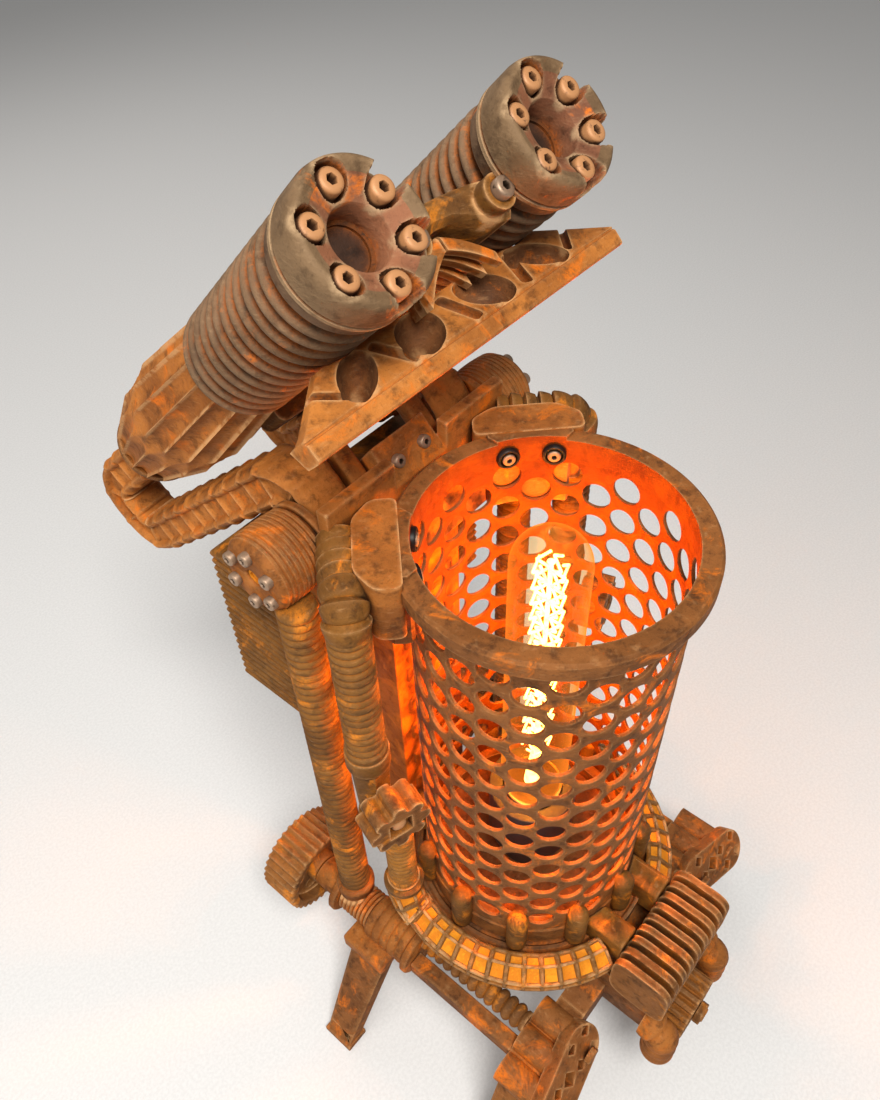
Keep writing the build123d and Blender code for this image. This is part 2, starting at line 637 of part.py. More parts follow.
# Rear sleeves: flanges, a bellows, a boss for the rear hose and the rear wheel's axle
SLEEVE_FLANGE = 13.5
SLEEVE_RADIUS = 11.5
SLEEVE_BODY_END = 46.0
BELLOWS_END = 66.0
WHEEL_FRONT = 84.0
WHEEL_WIDTH = 22.0
AXLE_RADIUS = 4.0
AXLE_END = 112.0
AXLE_NUT = 7.0
HOSE_BOSS = 9.0
REAR_HOSE_BOTTOM_Z = 92.0
for side, sign in SIDES:
    with BuildPart() as rear_sleeve:
        steps = (
            (BEAM_ROD_REAR, BEAM_ROD_REAR + 4, SLEEVE_FLANGE),
            (BEAM_ROD_REAR + 4, SLEEVE_BODY_END, SLEEVE_RADIUS),
            (SLEEVE_BODY_END, BELLOWS_END, 8.0),
            (SLEEVE_BODY_END + 3, SLEEVE_BODY_END + 6, 9.6),
            (SLEEVE_BODY_END + 9, SLEEVE_BODY_END + 12, 9.6),
            (SLEEVE_BODY_END + 15, SLEEVE_BODY_END + 18, 9.6),
            (BELLOWS_END, BELLOWS_END + 4, 13.0),
            (BELLOWS_END + 4, WHEEL_FRONT - GAP, 8.0),
            (WHEEL_FRONT - GAP, AXLE_END, AXLE_RADIUS),
        )
        for start, end, radius in steps:
            with BuildSketch(facing_front(sign * SIDE_X, end, SIDE_Z)):
                Circle(radius)
            extrude(amount=end - start)
        with BuildSketch(Plane(origin=(sign * (SLEEVE_END_X + 6), behind(REAR_BEAM_BACK), HUB_BOTTOM_Z))):
            Rectangle(12, 14)
        extrude(amount=BEAM_HEIGHT)
        with BuildSketch(Plane(origin=(sign * LEG_PAD_X, behind(REAR_LEG_BACK), LEG_TOP_Z))):
            Rectangle(20, LEG_TOP_WIDTH + 4)
        extrude(amount=10)
        with BuildSketch(Plane(origin=(sign * REAR_HOSE_X, behind(REAR_HOSE_BACK), SIDE_Z))):
            Circle(HOSE_BOSS)
        extrude(amount=REAR_HOSE_BOTTOM_Z - SIDE_Z)
    rear_sleeve.part.label = f"rear_sleeve_{side}"
    export_step(rear_sleeve.part, f"parts/rear_sleeve_{side}.step")

# Rear wheels: knurled rims with a recessed web and round windows
WHEEL_RADIUS = 25.0
WHEEL_TEETH = 30
WHEEL_RECESS = 6.0
WHEEL_BORE = AXLE_RADIUS + 0.06
for side, sign in SIDES:
    with BuildPart() as rear_wheel:
        rim_plane = facing_front(sign * SIDE_X, WHEEL_FRONT + WHEEL_WIDTH, SIDE_Z)
        with BuildSketch(rim_plane):
            Polygon(*tooth_points(WHEEL_RADIUS - 1.6, WHEEL_RADIUS, WHEEL_TEETH), align=None)
        extrude(amount=WHEEL_WIDTH)
        for end_plane, into in ((rim_plane, WHEEL_RECESS), (rim_plane.offset(WHEEL_WIDTH), -WHEEL_RECESS)):
            with BuildSketch(end_plane):
                Circle(WHEEL_RADIUS - 5)
                Circle(8.5, mode=Mode.SUBTRACT)
            extrude(amount=into, mode=Mode.SUBTRACT)
        with BuildSketch(rim_plane):
            with PolarLocations(14.2, 6):
                Circle(3.6)
            Circle(WHEEL_BORE)
        extrude(amount=WHEEL_WIDTH, mode=Mode.SUBTRACT)
    rear_wheel.part.label = f"rear_wheel_{side}"
    export_step(rear_wheel.part, f"parts/rear_wheel_{side}.step")

# Toothed wheel at the front, on an axle from the nose
GEAR_Z = 66.0
GEAR_BACK = -91.8
GEAR_WIDTH = 12.0
GEAR_RADIUS = 16.0
GEAR_TEETH = 18
GEAR_AXLE = 3.5
GEAR_BORE = GEAR_AXLE + 0.06
GEAR_NUT = 3.5
with BuildPart() as front_gear:
    with BuildSketch(facing_front(0, GEAR_BACK, GEAR_Z)):
        Polygon(*tooth_points(GEAR_RADIUS - 2.6, GEAR_RADIUS, GEAR_TEETH), align=None)
        Circle(GEAR_BORE, mode=Mode.SUBTRACT)
    extrude(amount=GEAR_WIDTH)
    with BuildSketch(facing_front(0, GEAR_BACK - GEAR_WIDTH, GEAR_Z)):
        Circle(10.5)
        Circle(6, mode=Mode.SUBTRACT)
    extrude(amount=-2.5, mode=Mode.SUBTRACT)
front_gear.part.label = "front_gear"
export_step(front_gear.part, "parts/front_gear.step")

with BuildPart() as gear_axle:
    with BuildSketch(facing_front(0, -NOSE_FRONT, GEAR_Z)):
        Circle(7)
    extrude(amount=-NOSE_FRONT - GEAR_BACK - GAP)
    with BuildSketch(facing_front(0, -NOSE_FRONT, GEAR_Z)):
        Circle(GEAR_AXLE)
    extrude(amount=-NOSE_FRONT - GEAR_BACK + GEAR_WIDTH + GEAR_NUT + 1)
    with BuildSketch(facing_front(0, GEAR_BACK - GEAR_WIDTH - GAP, GEAR_Z)):
        RegularPolygon(6, 6)
    extrude(amount=GEAR_NUT)
gear_axle.part.label = "gear_axle"
export_step(gear_axle.part, "parts/gear_axle.step")

# Nuts on the star plates' hubs and on the rear axles' ends
with BuildPart() as hex_nuts:
    for side, sign in SIDES:
        for end_x, end_z in PLATE_ENDS:
            with BuildSketch(facing_front(sign * end_x, BLOCK_FRONT - PLATE_THICKNESS, end_z)):
                RegularPolygon(HUB_NUT, 6)
            extrude(amount=NUT_HEIGHT)
        with BuildSketch(facing_front(sign * SIDE_X, AXLE_END - 1, SIDE_Z)):
            RegularPolygon(AXLE_NUT, 6)
            Circle(AXLE_RADIUS, mode=Mode.SUBTRACT)
        extrude(amount=AXLE_END - 1 - WHEEL_FRONT - WHEEL_WIDTH - GAP)
hex_nuts.part.label = "hex_nuts"
export_step(hex_nuts.part, "parts/hex_nuts.step")

# Ribbed elbows beside the front gear
ELBOW_X = 23.0
ELBOW_BORE = 4.4
ELBOW_RIB = 5.6
ELBOW_RIB_AT = 0.75
with BuildPart() as front_elbows:
    for side, sign in SIDES:
        with BuildLine(across(sign * ELBOW_X, 0, 0)) as bend:
            FilletPolyline((-NOSE_FRONT, 80), (-NOSE_FRONT - 9, 80), (-NOSE_FRONT - 9, 58), radius=6)
        bend_wire = bend.wires()[0]
        with BuildSketch(Plane(origin=bend_wire @ 0, z_dir=bend_wire % 0)):
            Circle(ELBOW_BORE)
        sweep(path=bend_wire)
        with BuildSketch(Plane(origin=bend_wire @ ELBOW_RIB_AT, z_dir=bend_wire % ELBOW_RIB_AT)):
            Circle(ELBOW_RIB)
        extrude(amount=0.9, both=True)
front_elbows.part.label = "front_elbows"
export_step(front_elbows.part, "parts/front_elbows.step")


def ribbed_hose(length, ribs, crest, valley):
    """A hose along +X from the origin: each rib is a ruled loft through four circles."""
    pitch = length / ribs
    with BuildPart() as hose:
        for rib in range(ribs):
            for share, radius in ((0.0, valley), (0.3, crest), (0.7, crest), (1.0, valley)):
                with BuildSketch(Plane.YZ.offset((rib + share) * pitch)):
                    Circle(radius)
            loft(ruled=True)
    return hose.part


# Valve under each front hose: a collar, a tapered hexagonal body with the knob's spindle, and a foot
KNOB_YAW = 17.0
KNOB_Z = 219.0
KNOB_BACK = 9.6
KNOB_LENGTH = 13.0
KNOB_RADIUS = 13.0
SPINDLE_RADIUS = 3.0
SPINDLE_BORE = SPINDLE_RADIUS + 0.06
SPINDLE_LENGTH = 7.0
VALVE_X = 66.0
VALVE_BACK = 34.0
VALVE_TOP_Z = 246.0
VALVE_BOTTOM_Z = 190.0
VALVE_COLLAR = 8.8


def knob_plane(sign, distance):
    """The plane across the valve's spindle, this far out from the valve's axis."""
    out = (sign * sin(radians(KNOB_YAW)), -cos(radians(KNOB_YAW)), 0)
    origin = (sign * VALVE_X + distance * out[0], behind(VALVE_BACK) + distance * out[1], KNOB_Z)
    return Plane(origin=origin, x_dir=(0, 0, 1), z_dir=out)


for side, sign in SIDES:
    with BuildPart() as valve_body:
        valve = Plane(origin=(sign * VALVE_X, behind(VALVE_BACK), VALVE_TOP_Z))
        with BuildSketch(valve):
            Circle(VALVE_COLLAR)
        extrude(amount=-8)
        with BuildSketch(valve.offset(-8)):
            RegularPolygon(8.4, 6)
        with BuildSketch(valve.offset(VALVE_BOTTOM_Z + 10 - VALVE_TOP_Z)):
            RegularPolygon(7, 6)
        loft(ruled=True)
        with BuildSketch(level(VALVE_BOTTOM_Z)):
            with Locations((sign * VALVE_X, VALVE_BACK), (sign * LOWER_HOSE_X, LOWER_HOSE_BACK)):
                Circle(7.4)
            make_hull()
        extrude(amount=10)
        with BuildSketch(knob_plane(sign, 0)):
            Circle(5.5)
        extrude(amount=KNOB_BACK - GAP)
        with BuildSketch(knob_plane(sign, 0)):
            Circle(SPINDLE_RADIUS)
        extrude(amount=KNOB_BACK + SPINDLE_LENGTH)
    valve_body.part.label = f"valve_body_{side}"
    export_step(valve_body.part, f"parts/valve_body_{side}.step")

    # Valve knob: eight rounded teeth, a square recess with a screw in its front face and a blind bore
    with BuildPart() as valve_knob:
        with BuildSketch(knob_plane(sign, KNOB_BACK)):
            Circle(KNOB_RADIUS - 2.2)
            with PolarLocations(KNOB_RADIUS - 2.6, 8):
                Circle(2.6)
        extrude(amount=KNOB_LENGTH)
        with BuildSketch(knob_plane(sign, KNOB_BACK + KNOB_LENGTH)):
            Rectangle(10, 10)
        extrude(amount=-3, mode=Mode.SUBTRACT)
        with BuildSketch(knob_plane(sign, KNOB_BACK + KNOB_LENGTH - 3)):
            Circle(3)
        extrude(amount=1.8)
        with BuildSketch(knob_plane(sign, KNOB_BACK)):
            Circle(SPINDLE_BORE)
        extrude(amount=SPINDLE_LENGTH + GAP, mode=Mode.SUBTRACT)
    valve_knob.part.label = f"valve_knob_{side}"
    export_step(valve_knob.part, f"parts/valve_knob_{side}.step")

# Ribbed hoses: front ones above the valves, lower ones under them and rear ones down to the sleeves
FRONT_HOSE_RIBS = 6
LOWER_HOSE_RIBS = 4
REAR_HOSE_RIBS = 11
FRONT_HOSE_TOP_Z = RIM_Z - 8.0
REAR_HOSE_TOP_Z = 300.0
front_hose_shape = ribbed_hose(FRONT_HOSE_TOP_Z - VALVE_TOP_Z, FRONT_HOSE_RIBS, HOSE_RADIUS, HOSE_VALLEY)
LOWER_HOSE_LENGTH = VALVE_BOTTOM_Z - COLLAR_TOP_Z
lower_hose_shape = ribbed_hose(LOWER_HOSE_LENGTH, LOWER_HOSE_RIBS, LOWER_HOSE_RADIUS, LOWER_HOSE_VALLEY)
REAR_HOSE_LENGTH = REAR_HOSE_TOP_Z - REAR_HOSE_BOTTOM_Z
rear_hose_shape = ribbed_hose(REAR_HOSE_LENGTH, REAR_HOSE_RIBS, HOSE_RADIUS, HOSE_VALLEY)
UPRIGHT = (0, -90, 0)
for side, sign in SIDES:
    with BuildPart() as front_hose:
        with Locations(Location((sign * VALVE_X, behind(VALVE_BACK), VALVE_TOP_Z), UPRIGHT)):
            add(front_hose_shape)
    front_hose.part.label = f"front_hose_{side}"
    export_step(front_hose.part, f"parts/front_hose_{side}.step")

    with BuildPart() as rear_hose:
        with Locations(Location((sign * REAR_HOSE_X, behind(REAR_HOSE_BACK), REAR_HOSE_BOTTOM_Z), UPRIGHT)):
            add(rear_hose_shape)
    rear_hose.part.label = f"rear_hose_{side}"
    export_step(rear_hose.part, f"parts/rear_hose_{side}.step")

with BuildPart() as lower_hoses:
    for side, sign in SIDES:
        with Locations(Location((sign * LOWER_HOSE_X, behind(LOWER_HOSE_BACK), COLLAR_TOP_Z), UPRIGHT)):
            add(lower_hose_shape)
lower_hoses.part.label = "lower_hoses"
export_step(lower_hoses.part, "parts/lower_hoses.step")

# Elbows from the front hoses to the neck's front wall
NECK_FRONT = 58.0
NECK_HALF = DRUM_INNER_X
ELBOW_TOP_Z = RIM_Z + 5.0
ELBOW_RADIUS = 6.4
with BuildPart() as hose_elbows:
    for side, sign in SIDES:
        start = (sign * VALVE_X, behind(VALVE_BACK), FRONT_HOSE_TOP_Z)
        corner = (sign * VALVE_X, behind(VALVE_BACK), ELBOW_TOP_Z)
        end = (sign * 44.0, behind(NECK_FRONT), ELBOW_TOP_Z)
        with BuildLine() as bend:
            FilletPolyline(start, corner, end, radius=10)
        bend_wire = bend.wires()[0]
        with BuildSketch(Plane(origin=bend_wire @ 0, z_dir=bend_wire % 0)):
            Circle(ELBOW_RADIUS)
        sweep(path=bend_wire)
        for share in (0.08, 0.28, 0.48, 0.68):
            with BuildSketch(Plane(origin=bend_wire @ share, z_dir=bend_wire % share)):
                Circle(ELBOW_RADIUS + 1.3)
            extrude(amount=1.7, both=True)
    split(bisect_by=Plane(origin=(0, behind(NECK_FRONT), 0), z_dir=(0, -1, 0)))
hose_elbows.part.label = "hose_elbows"
export_step(hose_elbows.part, "parts/hose_elbows.step")

# Spine column: a hollow box with stepped ribs on its front
SPINE_TOP_Z = NECK_BOTTOM_Z
SPINE_RIBS = 8
with BuildPart() as spine_column:
    with BuildSketch(Plane(origin=(0, behind(SPINE_BACK + SPINE_DEPTH / 2), SPINE_BOTTOM_Z))):
        Rectangle(SPINE_WIDTH, SPINE_DEPTH)
        Rectangle(SPINE_WIDTH - 2 * SPINE_WALL, SPINE_DEPTH - 2 * SPINE_WALL, mode=Mode.SUBTRACT)
    extrude(amount=SPINE_TOP_Z - SPINE_BOTTOM_Z)
    with BuildSketch(facing_front(0, SPINE_BACK, SPINE_BOTTOM_Z + (SPINE_TOP_Z - SPINE_BOTTOM_Z) / 2)):
        with GridLocations(1, 23, 1, SPINE_RIBS):
            Rectangle(SPINE_WIDTH - 12, 9)
    extrude(amount=1.5)
spine_column.part.label = "spine_column"
export_step(spine_column.part, "parts/spine_column.step")

# Neck block on the spine: a front wall, shoulders for the ducts, end plates for the drums and lug pads
SIDE_PART = 25.0
CENTRE_PART = 14.0
NECK_REAR = 88.0
SHOULDER_DROP = 22.0
WALL_RISE = 10.0
SLOPE_SUM = 62.0
STRUT_X = 19.0
with BuildPart() as neck_block:
    with BuildSketch(Plane(origin=(0, behind((NECK_FRONT + NECK_REAR) / 2), NECK_BOTTOM_Z))):
        Rectangle(2 * NECK_HALF, NECK_REAR - NECK_FRONT)
    extrude(amount=SHOULDER_Z - NECK_BOTTOM_Z)
    with BuildSketch(facing_front(0, NECK_FRONT + 5, (SHOULDER_Z + RIM_Z + WALL_RISE) / 2)):
        Rectangle(2 * NECK_HALF, RIM_Z + WALL_RISE - SHOULDER_Z)
    extrude(amount=5)
    with BuildSketch(across(-SIDE_PART, 0, RIM_Z)):
        Polygon(
            (NECK_FRONT, -SHOULDER_DROP),
            (SLOPE_SUM + SHOULDER_DROP, -SHOULDER_DROP),
            (NECK_FRONT, SLOPE_SUM - NECK_FRONT),
            align=None,
        )
    extrude(amount=2 * SIDE_PART)
    with BuildSketch(across(-CENTRE_PART, 0, RIM_Z)):
        Polygon((NECK_FRONT, -2), (NECK_FRONT, WALL_RISE), (NECK_FRONT + 12, WALL_RISE), align=None)
    extrude(amount=2 * CENTRE_PART, mode=Mode.SUBTRACT)
    with BuildSketch(across(-CENTRE_PART, 0, RIM_Z)):
        Polygon(
            (NECK_FRONT, -SHOULDER_DROP),
            (NECK_REAR, -SHOULDER_DROP),
            (NECK_REAR - 12, 2),
            (NECK_FRONT + 12, WALL_RISE),
            (NECK_FRONT, -2),
            align=None,
        )
    extrude(amount=2 * CENTRE_PART)
    for side, sign in SIDES:
        with BuildSketch(across(sign * NECK_HALF, DRUM_BACK, DRUM_Z)):
            Circle(DRUM_RADIUS)
        extrude(amount=-sign * 3)
        with BuildSketch(Plane(origin=(0, SHADE_Y, RIM_Z - 30))):
            reach = LUG_REACH * sqrt(2)
            Polygon(
                (sign * (reach - NECK_FRONT), NECK_FRONT),
                (sign * NECK_HALF, NECK_FRONT),
                (sign * NECK_HALF, reach - NECK_HALF),
                align=None,
            )
        extrude(amount=25)
    with BuildSketch(Plane(origin=(0, behind((NECK_FRONT + NECK_REAR) / 2), NECK_BOTTOM_Z))):
        Rectangle(SPINE_WIDTH - 2 * SPINE_WALL, SPINE_DEPTH - 2 * SPINE_WALL)
    extrude(amount=18, mode=Mode.SUBTRACT)
neck_block.part.label = "neck_block"
export_step(neck_block.part, "parts/neck_block.step")

# Drums: ribbed barrels with a bolted outer face, and a boss for the rear hose underneath
DRUM_RIBS = 5
for side, sign in SIDES:
    with BuildPart() as drum:
        with BuildSketch(across(sign * NECK_HALF, DRUM_BACK, DRUM_Z)):
            Circle(DRUM_RADIUS - 1.6)
        extrude(amount=sign * DRUM_LENGTH)
        rib_pitch = (DRUM_LENGTH - 4) / DRUM_RIBS
        for rib in range(DRUM_RIBS):
            with BuildSketch(across(sign * (NECK_HALF + rib * rib_pitch), DRUM_BACK, DRUM_Z)):
                Circle(DRUM_RADIUS)
            extrude(amount=sign * rib_pitch * 0.6)
        with BuildSketch(across(sign * (NECK_HALF + DRUM_LENGTH - 4), DRUM_BACK, DRUM_Z)):
            Circle(DRUM_RADIUS)
        extrude(amount=sign * 4)
        with BuildSketch(Plane(origin=(sign * REAR_HOSE_X, behind(REAR_HOSE_BACK), REAR_HOSE_TOP_Z))):
            Circle(HOSE_RADIUS)
        extrude(amount=DRUM_Z - REAR_HOSE_TOP_Z - 2)
        with BuildSketch(across(sign * (NECK_HALF + DRUM_LENGTH), DRUM_BACK, DRUM_Z)):
            Circle(DRUM_BORE)
        extrude(amount=-sign * 12, mode=Mode.SUBTRACT)
    drum.part.label = f"drum_{side}"
    export_step(drum.part, f"parts/drum_{side}.step")

# Radiators: cooling plates stacked on a core behind each side of the spine
PLATES = 12
PLATE_PITCH = 7.0
PLATE_SHEET = 2.8
RADIATOR_BOTTOM_Z = 216.0
RADIATOR_FRONT = SPINE_BACK + SPINE_DEPTH
for side, sign in SIDES:
    with BuildPart() as radiator:
        with BuildSketch(Plane(origin=(sign * 29, behind(RADIATOR_FRONT + 13), RADIATOR_BOTTOM_Z))):
            Rectangle(42, 26)
        extrude(amount=(PLATES - 1) * PLATE_PITCH + PLATE_SHEET)
        for plate in range(PLATES):
            short = max(0, 3 - plate) * 5
            plate_z = RADIATOR_BOTTOM_Z + plate * PLATE_PITCH
            plate_plane = Plane(origin=(sign * (42 - short / 2), behind(100 - short / 2), plate_z))
            with BuildSketch(plate_plane):
                Rectangle(36 - short, 36 - short)
            extrude(amount=PLATE_SHEET)
        with BuildSketch(Plane(origin=(0, behind(NECK_REAR - 15), NECK_BOTTOM_Z))):
            Rectangle(2 * NECK_HALF, 30)
        extrude(amount=30, mode=Mode.SUBTRACT)
    radiator.part.label = f"radiator_{side}"
    export_step(radiator.part, f"parts/radiator_{side}.step")

# Twin cylinders: a collar, cooling fins and a blind bore
fin_pitch = (CYLINDER_END - COLLAR_END) / FINS
for side, sign in SIDES:
    with BuildPart() as cylinder:
        with BuildSketch(down_head(CYLINDER_END)):
            with Locations((sign * CYLINDER_X, 0)):
                Circle(FIN_ROOT)
        extrude(amount=CYLINDER_END - CAP_END)
        with BuildSketch(down_head(COLLAR_END)):
            with Locations((sign * CYLINDER_X, 0)):
                Circle(FIN_RADIUS - 1.2)
        extrude(amount=COLLAR_END - CAP_END)
        for fin in range(FINS):
            with BuildSketch(down_head(COLLAR_END + (fin + 1) * fin_pitch)):
                with Locations((sign * CYLINDER_X, 0)):
                    Circle(FIN_RADIUS)
            extrude(amount=fin_pitch * 0.55)
        with BuildSketch(down_head(CAP_END)):
            with Locations((sign * CYLINDER_X, 0)):
                Circle(FIN_ROOT - 5)
        extrude(amount=CAP_END + 6 - CYLINDER_END, mode=Mode.SUBTRACT)
    cylinder.part.label = f"cylinder_{side}"
    export_step(cylinder.part, f"parts/cylinder_{side}.step")

    # Cap on the cylinder: a round opening, six notches with bolt seats and a chamfered rim
    with BuildPart() as cylinder_cap:
        with BuildSketch(down_head(CAP_END)):
            with Locations((sign * CYLINDER_X, 0)):
                Circle(CAP_RADIUS)
        extrude(amount=CAP_END)
        cap_circles = cylinder_cap.edges().filter_by(GeomType.CIRCLE)
        chamfer(cap_circles.sort_by(Axis(HEAD.origin, HEAD.z_dir))[-1], 3)
        with BuildSketch(down_head(5)):
            with Locations((sign * CYLINDER_X, 0)):
                with PolarLocations(BOLT_CIRCLE, 6, start_angle=30):
                    Circle(CAP_SCREW_RADIUS + 0.4)
                with PolarLocations(BOLT_CIRCLE + 4, 6, start_angle=30):
                    Rectangle(8, 2 * CAP_SCREW_RADIUS + 0.8)
        extrude(amount=10, mode=Mode.SUBTRACT)
        with BuildSketch(down_head(CAP_END)):
            with Locations((sign * CYLINDER_X, 0)):
                Circle(MUZZLE_BORE)
        extrude(amount=CAP_END + 5, mode=Mode.SUBTRACT)
    cylinder_cap.part.label = f"cylinder_cap_{side}"
    export_step(cylinder_cap.part, f"parts/cylinder_cap_{side}.step")

cap_screw = socket_screw(CAP_SCREW_RADIUS, 4.0, 1, 0)
with BuildPart() as cap_screws:
    for side, sign in SIDES:
        with Locations(down_head(5)):
            with Locations((sign * CYLINDER_X, 0)):
                with PolarLocations(BOLT_CIRCLE, 6, start_angle=30):
                    add(cap_screw)
cap_screws.part.label = "cap_screws"
export_step(cap_screws.part, "parts/cap_screws.step")

# Fluted tail cones behind the cylinders
CONE_STATIONS = ((CYLINDER_END, FIN_ROOT + 0.5), (CONE_WIDE_AT, CONE_WIDE), (CONE_END, CONE_END_RADIUS))
CONE_WALL = 3.5


def fluted(sign, inset=0.0, start_in=0.0, end_in=0.0):
    """A tail cone with alternating flutes, or its smaller inside."""
    with BuildPart() as cone:
        for station, (distance, radius) in enumerate(CONE_STATIONS):
            shift = start_in if station == 0 else (-end_in if station == 2 else 0)
            points = []
            for corner in range(2 * CONE_SIDES):
                reach = (radius - inset) * (1.0 if corner % 2 == 0 else 0.88)
                angle = pi * corner / CONE_SIDES
                points.append((sign * CYLINDER_X + reach * cos(angle), reach * sin(angle)))
            with BuildSketch(down_head(distance + shift)):
                Polygon(*points, align=None)
        loft(ruled=True)
    return cone.part


with BuildPart() as tail_cones:
    for side, sign in SIDES:
        add(fluted(sign))
        add(fluted(sign, CONE_WALL, -1, 4), mode=Mode.SUBTRACT)
        with BuildSketch(down_head(CONE_END)):
            with Locations((sign * CYLINDER_X, 0)):
                Circle(6)
        extrude(amount=10, mode=Mode.SUBTRACT)
tail_cones.part.label = "tail_cones"
export_step(tail_cones.part, "parts/tail_cones.step")

# Bridge between the cylinders: a strap, fin plates over the visor and a cradle under the cones
CRADLE_START = 104.0
CRADLE_END = 119.0
CRADLE_BOTTOM = -24.0
VISOR_TOP = -19.0
VISOR_FACE = 30.0
VISOR_THICKNESS = 9.0
BRIDGE_FINS = 4
with BuildPart() as cylinder_bridge:
    with BuildSketch(down_head(CYLINDER_END - 2)):
        with Locations((0, -2)):
            Rectangle(48, 14)
    extrude(amount=CYLINDER_END - 2 - CAP_END)
    with BuildSketch(down_head(CRADLE_END)):
        with Locations((0, -5.5)):
            Rectangle(24, 21)
    extrude(amount=CRADLE_END - CYLINDER_END + 6)
    with BuildSketch(down_head(44)):
        with Locations((0, (VISOR_TOP - 8) / 2)):
            Rectangle(8, -8 - VISOR_TOP)
    extrude(amount=24)
    for fin in range(BRIDGE_FINS):
        with BuildSketch(down_head(24 + 6 * fin)):
            with Locations((0, (VISOR_TOP - 8) / 2)):
                Rectangle(56, -8 - VISOR_TOP)
        extrude(amount=2)
    with BuildSketch(down_head(CYLINDER_END)):
        with Locations((CYLINDER_X, 0), (-CYLINDER_X, 0)):
            Circle(FIN_RADIUS)
    extrude(amount=CYLINDER_END - CAP_END, mode=Mode.SUBTRACT)
    with BuildSketch(down_head(CRADLE_END)):
        with Locations((0, (CRADLE_BOTTOM - 9) / 2)):
            Rectangle(68, -9 - CRADLE_BOTTOM)
    extrude(amount=CRADLE_END - CRADLE_START)
    for side, sign in SIDES:
        add(fluted(sign), mode=Mode.SUBTRACT)
cylinder_bridge.part.label = "cylinder_bridge"
export_step(cylinder_bridge.part, "parts/cylinder_bridge.step")

# Visor under the cylinders: a pointed bar with four oval pockets and slots between them
VISOR_HALF = 72.0
VISOR_LIP = -39.5
VISOR_END_HEIGHT = 4.0
VISOR_SHOULDER = 50.0
POCKET_Y = -27.5
POCKET_DEPTH = 6.0
POCKETS = ((-44.5, 25.0), (-15.0, 9.0), (15.0, -9.0), (44.5, -25.0))
with BuildPart() as visor:
    with BuildSketch(down_head(VISOR_FACE + VISOR_THICKNESS)):
        Polygon(
            (-VISOR_HALF, VISOR_LIP),
            (VISOR_HALF, VISOR_LIP),
            (VISOR_HALF, VISOR_LIP + VISOR_END_HEIGHT),
            (VISOR_SHOULDER, VISOR_TOP),
            (-VISOR_SHOULDER, VISOR_TOP),
            (-VISOR_HALF, VISOR_LIP + VISOR_END_HEIGHT),
            align=None,
        )
    extrude(amount=VISOR_THICKNESS)
    with BuildSketch(down_head(VISOR_FACE)):
        for pocket_x, slant in POCKETS:
            with Locations(Location((pocket_x, POCKET_Y, 0), (0, 0, slant))):
                Ellipse(7.6, 5.2)
    extrude(amount=-POCKET_DEPTH, mode=Mode.SUBTRACT)
    with BuildSketch(down_head(VISOR_FACE)):
        for slot_x, slant in ((-29.5, 17.0), (0.0, 0.0), (29.5, -17.0)):
            with Locations(Location((slot_x, POCKET_Y, 0), (0, 0, slant))):
                Rectangle(3, 11)
    extrude(amount=-3, mode=Mode.SUBTRACT)
    with BuildSketch(down_head(VISOR_FACE + VISOR_THICKNESS)):
        with Locations((CYLINDER_X, 0), (-CYLINDER_X, 0)):
            Circle(FIN_RADIUS)
    extrude(amount=VISOR_THICKNESS, mode=Mode.SUBTRACT)
visor.part.label = "visor"
export_step(visor.part, "parts/visor.step")

# Struts from the neck's slope up to the cradle
STRUT_WIDTH = 8.0
STRUT_AT = (CRADLE_START + CRADLE_END) / 2
STRUT_FOOT = (SLOPE_SUM - HEAD_BACK - HEAD_Z + RIM_Z) / sqrt(2)
with BuildPart() as struts:
    for side, sign in SIDES:
        with BuildSketch(down_head(STRUT_AT + STRUT_WIDTH / 2)):
            with Locations((sign * STRUT_X, (STRUT_FOOT + CRADLE_BOTTOM) / 2)):
                Rectangle(STRUT_WIDTH, CRADLE_BOTTOM - STRUT_FOOT)
        extrude(amount=STRUT_WIDTH)
struts.part.label = "struts"
export_step(struts.part, "parts/struts.step")

# Square ducts from the tail cones, turning down and forward to the neck's shoulders
DUCT_SIZE = 18.0
DUCT_WALL = 2.5
DUCT_YAW = 0.06
DUCT_BEND = 12.0
DUCT_START = HEAD_BACK + (CONE_END - 1) / sqrt(2)
DUCT_START_RISE = HEAD_Z - RIM_Z - (CONE_END - 1) / sqrt(2)
DUCT_LAND = 76.0
DUCT_CORNERS = (
    (DUCT_START, DUCT_START_RISE),
    (204.8, -56.3),
    (183.9, -77.1),
    (DUCT_LAND, 16.2),
    (DUCT_LAND, -SHOULDER_DROP),
)
for side, sign in SIDES:
    duct_plane = Plane(
        origin=(sign * (CYLINDER_X - DUCT_YAW * DUCT_START), SHADE_Y, RIM_Z),
        x_dir=(sign * DUCT_YAW, 1, 0),
        z_dir=(1, -sign * DUCT_YAW, 0),
    )
    with BuildPart() as s_duct:
        with BuildLine(duct_plane) as run:
            FilletPolyline(*DUCT_CORNERS, radius=DUCT_BEND)
        run_wire = run.wires()[0]
        with BuildSketch(Plane(origin=run_wire @ 0, x_dir=duct_plane.z_dir, z_dir=run_wire % 0)):
            Rectangle(DUCT_SIZE, DUCT_SIZE)
            Rectangle(DUCT_SIZE - 2 * DUCT_WALL, DUCT_SIZE - 2 * DUCT_WALL, mode=Mode.SUBTRACT)
        sweep(path=run_wire)
        add(fluted(sign), mode=Mode.SUBTRACT)
    s_duct.part.label = f"s_duct_{side}"
    export_step(s_duct.part, f"parts/s_duct_{side}.step")
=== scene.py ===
import json
from math import atan2, cos, hypot, pi, radians, sin, sqrt, tau

import bmesh
import bpy
from mathutils import Matrix, Vector


